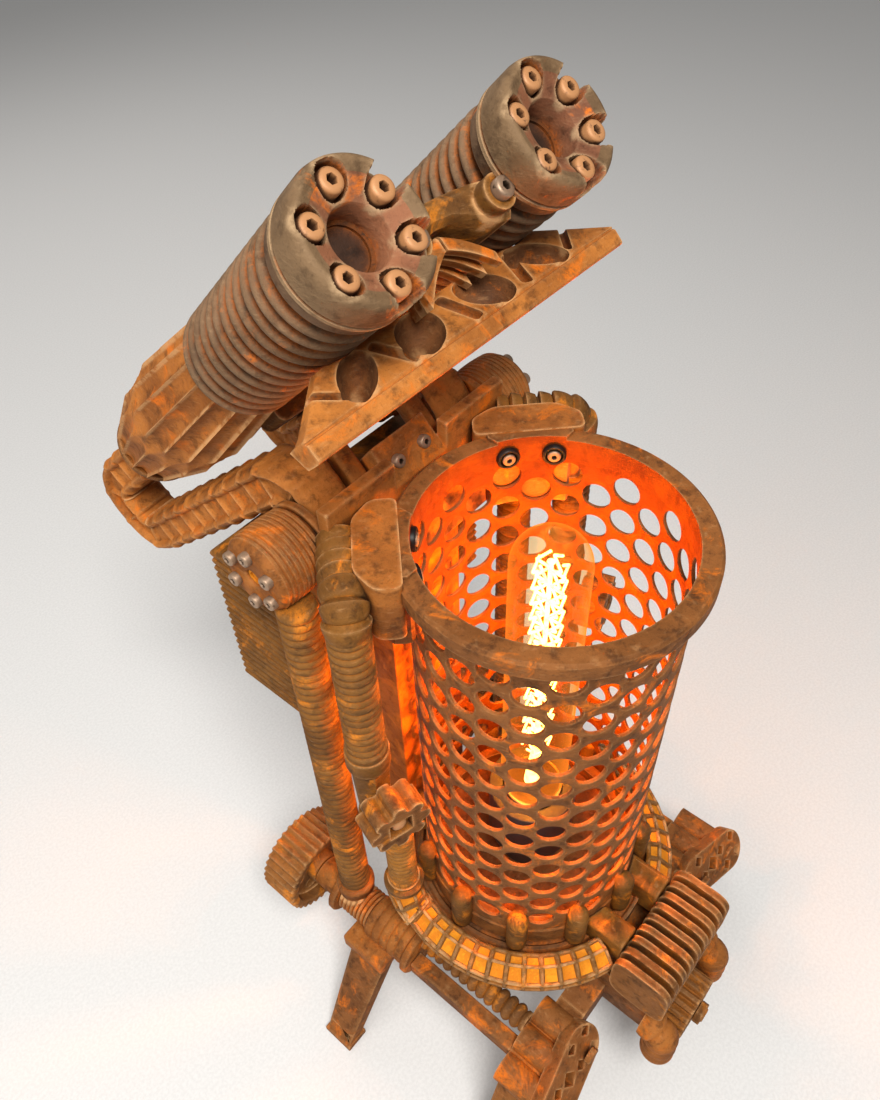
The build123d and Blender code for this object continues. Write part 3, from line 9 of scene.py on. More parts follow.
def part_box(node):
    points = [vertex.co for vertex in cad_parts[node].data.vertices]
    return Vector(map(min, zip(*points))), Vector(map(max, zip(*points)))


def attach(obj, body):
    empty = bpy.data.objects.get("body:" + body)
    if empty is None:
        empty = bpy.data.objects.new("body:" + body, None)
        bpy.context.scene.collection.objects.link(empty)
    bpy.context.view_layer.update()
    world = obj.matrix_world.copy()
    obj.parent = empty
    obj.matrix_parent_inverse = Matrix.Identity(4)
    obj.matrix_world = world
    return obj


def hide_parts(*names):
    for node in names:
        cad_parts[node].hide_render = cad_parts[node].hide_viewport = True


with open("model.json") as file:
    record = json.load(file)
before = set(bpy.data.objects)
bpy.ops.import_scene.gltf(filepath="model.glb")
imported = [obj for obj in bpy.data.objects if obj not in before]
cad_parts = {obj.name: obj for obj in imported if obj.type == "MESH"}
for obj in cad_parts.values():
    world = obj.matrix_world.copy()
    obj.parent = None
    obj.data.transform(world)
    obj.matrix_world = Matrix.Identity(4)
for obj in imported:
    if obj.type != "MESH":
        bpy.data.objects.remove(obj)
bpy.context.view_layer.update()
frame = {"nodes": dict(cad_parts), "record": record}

# Z is up, -Y is the front and the lamp is symmetric about x = 0. The pieces are drawn in millimetres and
# scaled by MM when they enter the scene, whose lengths are metres.
MM = 0.001
BODY = "lamp_body"
SIDES = (("right", 1), ("left", -1))
TUBE_LOW, TUBE_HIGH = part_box("shade_tube")
SHADE_Y = (TUBE_LOW.y + TUBE_HIGH.y) / 2 / MM
SHADE_RADIUS = 50.5
SHADE_WALL = 2.2
RIM_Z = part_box("bulb_glass")[1].z / MM
HEAD_TILT = radians(45)
HEAD_BACK = 33.5
HEAD_RISE = 115
HEAD_ORIGIN = Vector((0, SHADE_Y + HEAD_BACK, RIM_Z + HEAD_RISE))
HEAD_UP = Vector((0, sin(HEAD_TILT), cos(HEAD_TILT)))
HEAD_DOWN = Vector((0, cos(HEAD_TILT), -sin(HEAD_TILT)))
CYLINDER_X = 40.4
WELD = 1e-4
RIGHT = Vector((1, 0, 0))
FRONT = Vector((0, -1, 0))
UP = Vector((0, 0, 1))


def at(side_x, back, height):
    """A point this far to the right, this far behind the shade's axis and this high."""
    return Vector((side_x, SHADE_Y + back, height))


def eased(share):
    """A share held between 0 and 1, with soft ends."""
    share = max(0.0, min(1.0, share))
    return share * share * (3 - 2 * share)


def head(side_x, up, down):
    """A point in the head's own axes: across the lamp, up its slope and down along its cylinders."""
    return HEAD_ORIGIN + RIGHT * side_x + HEAD_UP * up + HEAD_DOWN * down


# Materials
class Nodes:
    """A material's node tree, with short calls for the few kinds of node used here."""

    def __init__(self, name):
        self.material = bpy.data.materials.new(name)
        self.material.use_nodes = True
        self.tree = self.material.node_tree
        self.tree.nodes.clear()
        self.shader = self.add("BsdfPrincipled")
        self.output = self.add("OutputMaterial", Surface=self.shader.outputs["BSDF"])
        self.place = self.add("TexCoord").outputs["Object"]

    def set(self, socket, value):
        """Gives a socket a number, a colour, a vector or another node's output."""
        if isinstance(value, (int, float)):
            socket.default_value = value
        elif isinstance(value, tuple):
            socket.default_value = (*value, 1)[: len(socket.default_value)]
        elif value is not None:
            self.tree.links.new(value, socket)

    def feed(self, node, **inputs):
        for name, value in inputs.items():
            self.set(node.inputs[name.replace("_", " ")], value)

    def add(self, kind, *values, **inputs):
        """A node with its first inputs set in order and others by name."""
        node = self.tree.nodes.new("ShaderNode" + kind)
        for socket, value in zip(node.inputs, values):
            self.set(socket, value)
        self.feed(node, **inputs)
        return node

    def noise(self, scale, detail, roughness, stretch=None, distort=0.0):
        place = self.add("Mapping", Vector=self.place, Scale=stretch).outputs[0] if stretch else self.place
        node = self.add("TexNoise", Vector=place, Scale=scale, Detail=detail)
        self.feed(node, Roughness=roughness, Distortion=distort)
        return node.outputs["Fac"]

    def band(self, value, low, high):
        """0 below low, 1 above high and smooth between."""
        node = self.add("MapRange", Value=value, From_Min=low, From_Max=high)
        node.interpolation_type = "SMOOTHSTEP"
        return node.outputs["Result"]

    def math(self, operation, first, second):
        node = self.add("Math", first, second)
        node.operation = operation
        return node.outputs["Value"]

    def blend(self, share, first, second):
        """The first colour where share is 0, the second where it is 1."""
        node = self.add("Mix", share)
        node.data_type = "RGBA"
        self.set(node.inputs[6], first)
        self.set(node.inputs[7], second)
        return node.outputs[2]

    def near(self, distance, inside=False):
        """High near other surfaces or, seen from inside the mesh, on its own convex edges."""
        occlusion = self.add("AmbientOcclusion", Distance=distance)
        occlusion.inside = inside
        occlusion.only_local = inside
        occlusion.samples = 4
        return self.math("SUBTRACT", 1.0, occlusion.outputs["AO"])

    def bump(self, height, strength, distance, normal=None):
        node = self.add("Bump", Height=height, Strength=strength, Distance=distance, Normal=normal)
        return node.outputs["Normal"]

    def finish(self, colour, value, smooth, rough, bump):
        """Dresses the shader, its roughness going from smooth to rough as value rises."""
        roughness = self.add("MapRange", Value=value, To_Min=smooth, To_Max=rough).outputs["Result"]
        self.feed(self.shader, Base_Color=colour, Roughness=roughness, Normal=bump)
        return self.material


def rusty(name, dark, middle, light, powder, edge, powder_level, edge_level, reach=1.6):
    """Painted rust: brown ground in three tones, orange powder in patches and corners, pale brushed edges,
    and painted shade darkening its crevices.
    """
    m = Nodes(name)
    clouds = m.noise(34, 5, 0.62, distort=0.5)
    patches = m.noise(62, 5, 0.68, distort=0.7)
    mottle = m.noise(170, 5, 0.66)
    speckle = m.noise(1000, 4, 0.65)
    strokes = m.noise(1.0, 3, 0.6, stretch=(260, 260, 1500))
    crevice = m.near(5 * MM)
    turn = m.near(reach * MM, inside=True)

    def over(colour, top, strength, share):
        return m.blend(m.math("MULTIPLY", share, strength), colour, top)

    colour = m.blend(m.band(clouds, 0.34, 0.64), middle, light)
    colour = over(colour, dark, 0.6, m.band(mottle, 0.48, 0.7))
    colour = over(colour, edge, 0.2, m.band(strokes, 0.54, 0.78))
    colour = over(colour, dark, 0.4, m.band(speckle, 0.54, 0.74))
    first_dust = 0.66 - 0.26 * powder_level
    dust = m.math("MULTIPLY", m.band(patches, first_dust, first_dust + 0.16), 0.9)
    lodged = m.math("MULTIPLY", m.band(crevice, 0.18, 0.5), m.band(patches, 0.36, 0.56))
    dust = m.math("MAXIMUM", dust, m.math("MULTIPLY", lodged, 0.35 + 0.65 * powder_level))
    colour = m.blend(m.math("MULTIPLY", dust, m.band(speckle, 0.3, 0.5)), colour, powder)
    # Painted shade: the colour darkens where other surfaces are near, in crevices and recesses.
    colour = over(colour, dark, 0.85, m.band(crevice, 0.36, 0.86))
    brushed = m.math("MULTIPLY", m.band(turn, 0.14, 0.55), m.band(mottle, 0.32, 0.56))
    colour = over(colour, edge, 0.8 * edge_level, brushed)
    m.feed(m.shader, Specular_IOR_Level=0.14)
    fine = m.bump(speckle, 0.45, 0.25 * MM)
    lines = m.bump(strokes, 0.3, 0.25 * MM, fine)
    return m.finish(colour, mottle, 0.52, 0.88, m.bump(mottle, 0.7, 0.9 * MM, lines))


def metal(name, colour, dark, rough=0.35, shine=0.75):
    """Worn screw metal with grime in patches and painted shade darkening its recesses."""
    m = Nodes(name)
    mottle = m.noise(420, 4, 0.6)
    # Painted shade in recesses, from nearness to other surfaces, joined with random patches of grime.
    grime_and_shade = m.math("MAXIMUM", m.band(m.near(3 * MM), 0.3, 0.62), m.band(mottle, 0.58, 0.74))
    m.feed(m.shader, Metallic=shine)
    worn = m.blend(grime_and_shade, colour, dark)
    return m.finish(worn, mottle, rough - 0.12, rough + 0.25, m.bump(mottle, 0.2, 0.1 * MM))


def plastic(name, colour):
    """Dark moulded plastic with a faint grain."""
    m = Nodes(name)
    grain = m.noise(700, 3, 0.5)
    tone = m.blend(m.band(grain, 0.3, 0.7), colour, tuple(c * 1.6 for c in colour))
    m.feed(m.shader, Base_Color=tone, Roughness=0.45, Normal=m.bump(grain, 0.15, 0.1 * MM))
    return m.material


def glass(name):
    """Thin clear glass, amber towards its edges, with a faint glow from the filament."""
    m = Nodes(name)
    smoke = m.noise(60, 2, 0.5)
    facing = m.add("LayerWeight", Blend=0.45).outputs["Facing"]
    edge = m.band(facing, 0.35, 1.0)
    middle = m.blend(m.band(smoke, 0.3, 0.7), (1.0, 0.93, 0.76), (1.0, 0.88, 0.66))
    clear = m.add("BsdfTransparent", m.blend(edge, middle, (0.9, 0.42, 0.08)))
    gloss = m.add("BsdfGlossy", Roughness=0.15, Color=(1.0, 0.8, 0.5))
    haze = m.add("Emission", (1.0, 0.36, 0.04), m.math("MULTIPLY", m.math("ADD", edge, 0.12), 0.4))
    mix = m.add("MixShader", m.math("MULTIPLY", facing, 0.1), clear.outputs[0], gloss.outputs[0])
    both = m.add("AddShader", mix.outputs[0], haze.outputs[0])
    m.feed(m.output, Surface=both.outputs[0])
    return m.material


def glow(name, colour, strength):
    """A hot wire, brighter and duller along its length."""
    m = Nodes(name)
    ripple = m.math("MULTIPLY", m.band(m.noise(260, 2, 0.5), 0.0, 0.7), strength)
    m.feed(m.shader, Base_Color=colour, Emission_Color=colour, Emission_Strength=ripple)
    return m.material


DARK = (0.024, 0.009, 0.004)
BROWN = (0.165, 0.053, 0.0105)
LIGHT = (0.32, 0.11, 0.021)
RUST = (0.6, 0.14, 0.007)
OCHRE = (0.55, 0.17, 0.01)
TAN = (0.58, 0.32, 0.135)
GREY_TAN = (0.4, 0.265, 0.145)
RUSTY = {
    "rusted_iron": (DARK, (0.115, 0.041, 0.0105), (0.22, 0.08, 0.02), RUST, TAN, 0.55, 0.9),
    "dark_rust": (DARK, (0.115, 0.044, 0.0115), (0.22, 0.086, 0.022), OCHRE, TAN, 0.5, 1.1),
    "worn_iron": (DARK, (0.085, 0.047, 0.024), (0.15, 0.085, 0.045), RUST, GREY_TAN, 0.3, 1.1),
    "tan_iron": ((0.045, 0.024, 0.011), (0.095, 0.054, 0.025), (0.165, 0.1, 0.05), RUST, GREY_TAN, 0.3, 1.0),
    "cap_web": (DARK, (0.13, 0.05, 0.025), (0.24, 0.095, 0.045), RUST, GREY_TAN, 0.5, 0.9),
    # The spine's saturated orange is the bulb's glow through the shade's holes, painted on.
    "spine_painted_glow": ((0.1, 0.02, 0.003), (0.3, 0.068, 0.006), (0.46, 0.11, 0.008), RUST, OCHRE, 0.6, 0.5),
    "pale_rust": (DARK, (0.22, 0.072, 0.014), (0.42, 0.148, 0.028), RUST, TAN, 0.5, 1.0),
    # A darker rust for the visor's bowls and slots and the cup's gallery: painted shade in these recesses.
    "recess_painted_shade": (DARK, (0.085, 0.034, 0.013), (0.17, 0.066, 0.022), RUST, TAN, 0.4, 0.5),
    # Near-black rust for the cylinder caps' bores: painted shade in the deep holes.
    "bore_painted_shade": ((0.006, 0.004, 0.003), (0.02, 0.011, 0.007), (0.05, 0.022, 0.012), RUST, BROWN, 0.05, 0.3),
    "brown_rust": (DARK, BROWN, LIGHT, RUST, TAN, 0.52, 1.0),
    "olive_rust": ((0.022, 0.009, 0.003), (0.095, 0.037, 0.007), (0.175, 0.072, 0.013), OCHRE, TAN, 0.5, 1.0),
    "ochre_rust": ((0.034, 0.013, 0.003), (0.14, 0.053, 0.008), (0.24, 0.096, 0.014), OCHRE, TAN, 0.6, 1.0),
    "ochre_cell": ((0.3, 0.08, 0.005), (0.58, 0.19, 0.009), (0.72, 0.28, 0.014), OCHRE, OCHRE, 1.0, 0.1),
    "shade_rust": (DARK, (0.125, 0.045, 0.011), (0.22, 0.08, 0.02), RUST, TAN, 0.4, 0.7, 0.9),
    "shade_inside": (
        (0.05, 0.009, 0.001), (0.085, 0.018, 0.001), (0.11, 0.025, 0.001), (0.13, 0.033, 0.001),
        (0.13, 0.04, 0.003), 0.7, 0.2, 0.9,
    ),
}
METALS = {
    "copper_screw": ((0.42, 0.195, 0.075), (0.06, 0.022, 0.008), 0.5, 0.15),
    "steel_screw": ((0.3, 0.2, 0.13), (0.04, 0.022, 0.012), 0.42, 0.6),
    # A black ring round each rim screw: painted shade in its counterbore.
    "counterbore_painted_shade": ((0.02, 0.018, 0.016), (0.005, 0.005, 0.005), 0.4),
    "brass_cap": ((0.7, 0.5, 0.25), (0.1, 0.06, 0.02)),
}
MATERIALS = {name: rusty(name, *tones) for name, tones in RUSTY.items()}
MATERIALS |= {name: metal(name, *tones) for name, tones in METALS.items()}
MATERIALS |= {
    "clear_glass": glass("clear_glass"),
    "filament_wire": glow("filament_wire", (1.0, 0.62, 0.2), 7.0),
    "black_plastic": plastic("black_plastic", (0.02, 0.018, 0.017)),
}
SLOTS = {part["node"]: part["material_slot"] for part in frame["record"]["subparts"]}
BODIES = {node: body for body, nodes in frame["record"]["behaviour"]["bodies"].items() for node in nodes}
BROWN_FINISHES = (
    "olive_rust", "worn_iron", "tan_iron", "cap_web", "bore_painted_shade", "recess_painted_shade", "pale_rust", "spine_painted_glow",
)
OTHER_SLOTS = {finish: "brown_rust" for finish in BROWN_FINISHES}
OTHER_SLOTS |= {
    "steel_screw": "copper_screw", "counterbore_painted_shade": "black_plastic", "shade_inside": "shade_rust",
    "ochre_cell": "ochre_rust",
}


# Mesh helpers
def to_data(mesh, name):
    """The mesh as an object's data; the mesh itself is used up."""
    data = bpy.data.meshes.new(name)
    mesh.to_mesh(data)
    mesh.free()
    return data


def placed(name, data):
    """A new object in the scene."""
    obj = bpy.data.objects.new(name, data)
    bpy.context.scene.collection.objects.link(obj)
    return obj


def piece(name, mesh, finish, replaces="", body=BODY, sharp=40, more=(), scale=MM):
    """Puts a mesh in the scene as one piece of the lamp, riding on a body."""
    if scale != 1:
        bmesh.ops.scale(mesh, vec=(scale, scale, scale), verts=mesh.verts)
    bmesh.ops.recalc_face_normals(mesh, faces=mesh.faces)
    data = to_data(mesh, name)
    for each in (finish, *more):
        data.materials.append(MATERIALS[each])
    data.shade_smooth()
    data.set_sharp_from_angle(angle=radians(sharp))
    obj = placed(name, data)
    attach(obj, body)
    if replaces:
        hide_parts(replaces)
    return obj


def joined(meshes):
    """Several meshes as one."""
    whole = bmesh.new()
    for mesh in meshes:
        data = to_data(mesh, "joined")
        whole.from_mesh(data)
        bpy.data.meshes.remove(data)
    return whole


def loops_to_mesh(rings, closed_ends=True):
    """A skin over rings of points: each ring is a list of the same length, or one point."""
    mesh = bmesh.new()
    rows = [[mesh.verts.new(point) for point in ring] for ring in rings]
    for low, high in zip(rows, rows[1:]):
        count = max(len(low), len(high))
        for i in range(count):
            j = (i + 1) % count
            corners = []
            for vert in (low[i % len(low)], low[j % len(low)], high[j % len(high)], high[i % len(high)]):
                if vert not in corners:
                    corners.append(vert)
            if len(corners) > 2:
                mesh.faces.new(corners)
    if closed_ends:
        for row in (rows[0], rows[-1]):
            if len(row) > 2:
                mesh.faces.new(row)
    return mesh


def lathe(profile, origin, axis, turns, wave=None, start=None, closed_ends=True):
    """A profile of (radius, distance along the axis) turned round it; wave changes a radius by its angle."""
    axis = Vector(axis).normalized()
    aside = Vector(start).normalized() if start else axis.orthogonal().normalized()
    other = axis.cross(aside)
    rings = []
    for radius, along in profile:
        centre = Vector(origin) + axis * along
        if radius < 1e-6:
            rings.append([centre])
            continue
        ring = []
        for step in range(turns):
            angle = tau * step / turns
            reach = wave(angle, along, radius) if wave else radius
            ring.append(centre + (aside * cos(angle) + other * sin(angle)) * reach)
        rings.append(ring)
    return loops_to_mesh(rings, closed_ends)


def ring_lathe(profile, origin, axis, turns):
    """A closed profile turned round the axis, open in the middle."""
    mesh = lathe(profile, origin, axis, turns, closed_ends=False)
    bmesh.ops.remove_doubles(mesh, verts=mesh.verts, dist=WELD)
    return mesh


def ribbed(length, ribs, crest, valley, steps=7, start=0.0, blunt=0.5):
    """The profile of a hose: round ribs side by side."""
    pitch = length / ribs
    profile = [(valley, start)]
    for rib in range(ribs):
        for step in range(1, steps + 1):
            rise = max(0.0, sin(pi * step / steps)) ** blunt
            profile.append((valley + (crest - valley) * rise, start + (rib + step / steps) * pitch))
    return profile


def capped(profile):
    """The same profile, closed on the axis at both ends."""
    return [(0, profile[0][1]), *profile, (0, profile[-1][1])]


def toothed(teeth, tooth):
    """An outline of equal teeth, each of whose points is (share of its width, distance from the middle)."""
    angles = [(tau * (k + share) / teeth, reach) for k in range(teeth) for share, reach in tooth]
    return [(reach * cos(angle), reach * sin(angle)) for angle, reach in angles]


def circle(radius, turns):
    """A round outline of so many points."""
    return toothed(turns, [(0, radius)])


def swept(path, section):
    """Outlines along a path of (point, direction, aside); section gives the outline at each length."""
    rings = []
    length = 0.0
    last = path[0][0]
    for point, direction, aside in path:
        length += (point - last).length
        last = point
        over = direction.cross(aside).normalized()
        rings.append([point + aside * a + over * b for a, b in section(length)])
    return loops_to_mesh(rings)


def bent_path(corners, radius, step, aside):
    """Points along straight runs joined by round corners, all square to one direction aside."""
    path = []
    last = corners[0]
    for before, corner, after in zip(corners, corners[1:], corners[2:]):
        into = (corner - before).normalized()
        out = (after - corner).normalized()
        turn = into.angle(out)
        cut = radius * sin(turn / 2) / cos(turn / 2)
        start = corner - into * cut
        pieces = max(1, round((start - last).length / step))
        path += [(last.lerp(start, k / pieces), into) for k in range(pieces)]
        normal = (out - into * into.dot(out)).normalized()
        centre = start + normal * radius
        pieces = max(3, round(radius * turn / step))
        for k in range(pieces):
            angle = turn * k / pieces
            spot = centre - normal * radius * cos(angle) + into * radius * sin(angle)
            path.append((spot, into * cos(angle) + normal * sin(angle)))
        last = corner + out * cut
    final = (corners[-1] - last).normalized()
    pieces = max(1, round((corners[-1] - last).length / step))
    path += [(last.lerp(corners[-1], k / pieces), final) for k in range(pieces + 1)]
    return [(point, way, (aside - way * aside.dot(way)).normalized()) for point, way in path]


def scaled_rings(path, pitch, crest, valley, turns=48):
    """A hose of rings that overlap like scales: each widens along the path and ends in a step."""
    height = crest - valley

    def outline(length):
        along = (length / pitch) % 1.0
        if along < 0.8:
            return circle(valley + 0.45 * height + 0.55 * height * sin(0.5 * pi * along / 0.8), turns)
        return circle(crest - height * min(1.0, (along - 0.8) / 0.08), turns)

    return swept(path, outline)


def socket_mesh(place, out, radius, height):
    """A socket screw's round head with a hexagonal recess, standing on place and facing out."""
    out = Vector(out).normalized()
    aside = out.orthogonal().normalized()
    other = out.cross(aside)
    edge = 0.3 * radius

    def ring(reach, along, hexagonal):
        points = []
        for k in range(24):
            angle = tau * k / 24
            flat = cos(pi / 6) / cos((angle % (pi / 3)) - pi / 6) if hexagonal else 1
            points.append(place + out * along + (aside * cos(angle) + other * sin(angle)) * reach * flat)
        return points

    socket = 0.4 * radius
    crown = ((0, 1), (0.1, 0.6), (0.35, 0.25), (1, 0))
    recess = ((socket * 1.15, height), (socket, height - 0.4 * edge), (socket, height * 0.3))
    rings = [ring(radius, 0, False)]
    rings += [ring(radius - inset * edge, height - drop * edge, False) for inset, drop in crown]
    rings += [ring(reach, along, True) for reach, along in recess]
    return loops_to_mesh([*rings, [place + out * height * 0.25]])


def rounded(mesh, offset, segments=2, corner=25):
    """Rounds every edge that turns more than corner degrees."""
    turned = [e for e in mesh.edges if e.is_manifold and e.calc_face_angle(0) > radians(corner)]
    bmesh.ops.bevel(
        mesh, geom=turned, offset=offset, segments=segments, profile=0.5, affect="EDGES", clamp_overlap=True
    )
    return mesh


def extruded(outline, origin, aside, over, depth, hole=None):
    """A flat outline pushed along its normal; hole is an inner outline of as many points."""
    normal = aside.cross(over).normalized()

    def ring(points, along):
        return [origin + aside * a + over * b + normal * along for a, b in points]

    if hole is None:
        return loops_to_mesh([ring(outline, 0), ring(outline, depth)])
    rings = [ring(outline, 0), ring(outline, depth), ring(hole, depth), ring(hole, 0), ring(outline, 0)]
    mesh = loops_to_mesh(rings, closed_ends=False)
    bmesh.ops.remove_doubles(mesh, verts=mesh.verts, dist=WELD)
    return mesh


def dressed(node, bevel, finish=None, inside=None):
    """The node's own solid with its flat faces joined and its edges rounded; inside picks out inner faces."""
    mesh = bmesh.new()
    mesh.from_mesh(frame["nodes"][node].data)
    bmesh.ops.remove_doubles(mesh, verts=mesh.verts, dist=0.002 * MM)
    bmesh.ops.dissolve_limit(mesh, angle_limit=radians(2), verts=mesh.verts, edges=mesh.edges)
    rounded(mesh, bevel * MM, 3 if bevel > 0.5 else 2)
    if inside:
        for face in mesh.faces:
            if inside(face.calc_center_median() / MM, face.normal):
                face.material_index = 1
    more = ("shade_inside",) if inside else ()
    piece(f"{node}_body", mesh, finish or SLOTS[node], node, BODIES[node], 50, more, scale=1)


def cut_from(target, cutters, sharp=40):
    """Cuts closed meshes out of a piece."""
    for cutter in cutters:
        bmesh.ops.scale(cutter, vec=(MM, MM, MM), verts=cutter.verts)
        bmesh.ops.recalc_face_normals(cutter, faces=cutter.faces)
        holder = placed("cutter", to_data(cutter, "cutter"))
        boolean = target.modifiers.new("cut", "BOOLEAN")
        boolean.operation = "DIFFERENCE"
        boolean.object = holder
        boolean.solver = "EXACT"
        result = bpy.data.meshes.new_from_object(target.evaluated_get(bpy.context.evaluated_depsgraph_get()))
        target.modifiers.clear()
        target.data = result
        bpy.data.objects.remove(holder)
    target.data.shade_smooth()
    target.data.set_sharp_from_angle(angle=radians(sharp))


# Perforated shade
HOLE_COLUMNS = 26
HOLE_ROWS = 12
HOLE_RADIUS = 5.85
HOLE_PITCH = 16.1
CELL_CORNER = pi / 2 - 0.649
TUBE_TOP = RIM_Z - 9.0
TUBE_BOTTOM = RIM_Z - 205.0
TOP_HOLE = RIM_Z - 15.7
INNER_RADIUS = SHADE_RADIUS - 1.7


def perforated_tube():
    """The tube as a skin of cells, each a ring of faces round one hole, with plain strips at both ends."""
    width = tau / HOLE_COLUMNS
    half_width = SHADE_RADIUS * width / 2
    half = HOLE_PITCH / 2
    sides, ends = 8, 6
    rise = HOLE_PITCH / sides
    corners = ((half_width, -half), (half_width, half), (-half_width, half), (-half_width, -half))
    turns = (-CELL_CORNER, CELL_CORNER, pi - CELL_CORNER, pi + CELL_CORNER, tau - CELL_CORNER)
    border = []
    for edge, steps in enumerate((sides, ends, sides, ends)):
        for k in range(steps):
            starts, stops = (*corners[edge], turns[edge]), (*corners[(edge + 1) % 4], turns[edge + 1])
            border.append([start + (stop - start) * k / steps for start, stop in zip(starts, stops)])
    verts, faces, inner_faces = [], [], []

    def vert(column, across, height, radius):
        angle = -pi / 2 + (column + 0.5) * width + across / SHADE_RADIUS
        height = max(TUBE_BOTTOM, min(TUBE_TOP, height))
        verts.append((radius * cos(angle), SHADE_Y + radius * sin(angle), height))
        return len(verts) - 1

    def face(corners, radius):
        faces.append(corners)
        inner_faces.append(int(radius == INNER_RADIUS))

    rings = (
        (None, SHADE_RADIUS), (0.42, SHADE_RADIUS), (0.12, SHADE_RADIUS - 0.12), (0.0, SHADE_RADIUS - 0.45),
        (0.0, INNER_RADIUS + 0.25), (0.25, INNER_RADIUS), (None, INNER_RADIUS),
    )
    last = TOP_HOLE - (HOLE_ROWS - 1) * HOLE_PITCH - half
    for column in range(HOLE_COLUMNS):
        odd = column % 2
        for row in range(HOLE_ROWS - odd):
            centre = TOP_HOLE - odd * half - row * HOLE_PITCH
            loops = []
            for grown, radius in rings:
                loop = []
                for across, up, turn in border:
                    if grown is not None:
                        across, up = (HOLE_RADIUS + grown) * cos(turn), (HOLE_RADIUS + grown) * sin(turn)
                    loop.append(vert(column, across, centre + up, radius))
                loops.append(loop)
            for first, second, (_, radius) in zip(loops, loops[1:], rings[1:]):
                for k in range(len(border)):
                    n = (k + 1) % len(border)
                    face((first[k], first[n], second[n], second[k]), radius)
        tops = [top - step * rise for top in (TOP_HOLE + half, last + half) for step in range(sides // 2)]
        strips = [(top - rise, top) for top in tops[: odd * sides]] + [(TUBE_BOTTOM, last)]
        for low, high in strips:
            for end in range(ends):
                left = -half_width + end * 2 * half_width / ends
                right = left + 2 * half_width / ends
                for radius in (SHADE_RADIUS, INNER_RADIUS):
                    square = ((left, low), (right, low), (right, high), (left, high))
                    face(tuple(vert(column, *spot, radius) for spot in square), radius)
    data = bpy.data.meshes.new("tube")
    data.from_pydata(verts, [], faces)
    data.polygons.foreach_set("material_index", inner_faces)
    mesh = bmesh.new()
    mesh.from_mesh(data)
    bpy.data.meshes.remove(data)
    bmesh.ops.remove_doubles(mesh, verts=mesh.verts, dist=0.01)
    for sliver in [f for f in mesh.faces if f.calc_area() < 1e-4]:
        mesh.faces.remove(sliver)
    for level in (TUBE_TOP, TUBE_BOTTOM):
        circles = ([], [])
        for point in mesh.verts:
            if abs(point.co.z - level) < 0.01:
                across, back = point.co.x, point.co.y - SHADE_Y
                circles[hypot(across, back) < INNER_RADIUS + 0.5].append((atan2(back, across), point))
        outer, inner = ([point for _, point in sorted(ring, key=lambda entry: entry[0])] for ring in circles)
        for k in range(min(len(outer), len(inner))):
            mesh.faces.new((outer[k - 1], outer[k], inner[k], inner[k - 1]))
    return mesh


piece("shade_tube_skin", perforated_tube(), "shade_rust", "shade_tube", more=("shade_inside",), sharp=35)


def faces_axis(centre, normal):
    """True for a face on the inside of the shade."""
    out = Vector((centre.x, centre.y - SHADE_Y, 0))
    return out.length < 50 and centre.z < RIM_Z + 0.5 and normal.dot(out.normalized()) < -0.5


dressed("shade_rim", 0.9, inside=faces_axis)
rim_screws = []
rim_ring = [(4.5, -1), (4.5, 1.2), (4.1, 1.7), (3.4, 1.7), (3.0, 1.2), (3.0, 0.2), (0, 0.2), (0, -1)]
for lug_side in (-1, 1):
    for step_aside in (-1, 1):
        bearing = radians(lug_side * 45 + step_aside * 10.5)
        outward = Vector((sin(bearing), cos(bearing), 0))
        recess = Vector((0, SHADE_Y, RIM_Z - 5.2)) + outward * (SHADE_RADIUS - SHADE_WALL - 0.2)
        # Each screw sits in a black ring that paints the shade in its counterbore.
        piece(f"rim_ring_{lug_side + 1}{step_aside + 1}", lathe(rim_ring, recess, -outward, 48), "counterbore_painted_shade")
        rim_screws.append(socket_mesh(recess, -outward, 2.55, 2.4))
piece("rim_screws", joined(rim_screws), "steel_screw", sharp=35)

# Cup with a ring of capsule fingers
CUP_LOW = RIM_Z - 218.0
CUP_PROFILE = [(0, 0), (49.5, 0), (51, 1.5), (51, 12.2), (50.2, 13), (44, 13), (44, 6), (0, 6)]
piece("cup_shell", lathe(CUP_PROFILE, (0, SHADE_Y, CUP_LOW), UP, 120), "shade_rust", "shade_cup")
fingers = []
for finger in range(12):
    angle = tau * finger / 12
    foot = Vector((52.6 * cos(angle), SHADE_Y + 52.6 * sin(angle), CUP_LOW + 2))
    profile = [(0, 0), (3.4, 0.3), (4.6, 1.8), (4.9, 4)]
    profile += [(4.9 * cos(k * pi / 14), 24.5 + 4.6 * sin(k * pi / 14)) for k in range(7)]
    fingers.append(lathe([*profile, (0, 29.1)], foot, UP, 28))
piece("cup_fingers", joined(fingers), "olive_rust")
# The gallery between the cup and the ring ducts is in the darker rust, painted shade.
gallery = [(49, -4), (49, 1), (52, 1), (53, 2.2), (54.5, 2.2), (55.5, 1), (57, 1), (58, 2.2), (59.5, 2.2)]
gallery += [(59.5, -4), (49, -4)]
piece("cup_gallery", ring_lathe(gallery, (0, SHADE_Y, CUP_LOW - 1.5), UP, 120), "recess_painted_shade")

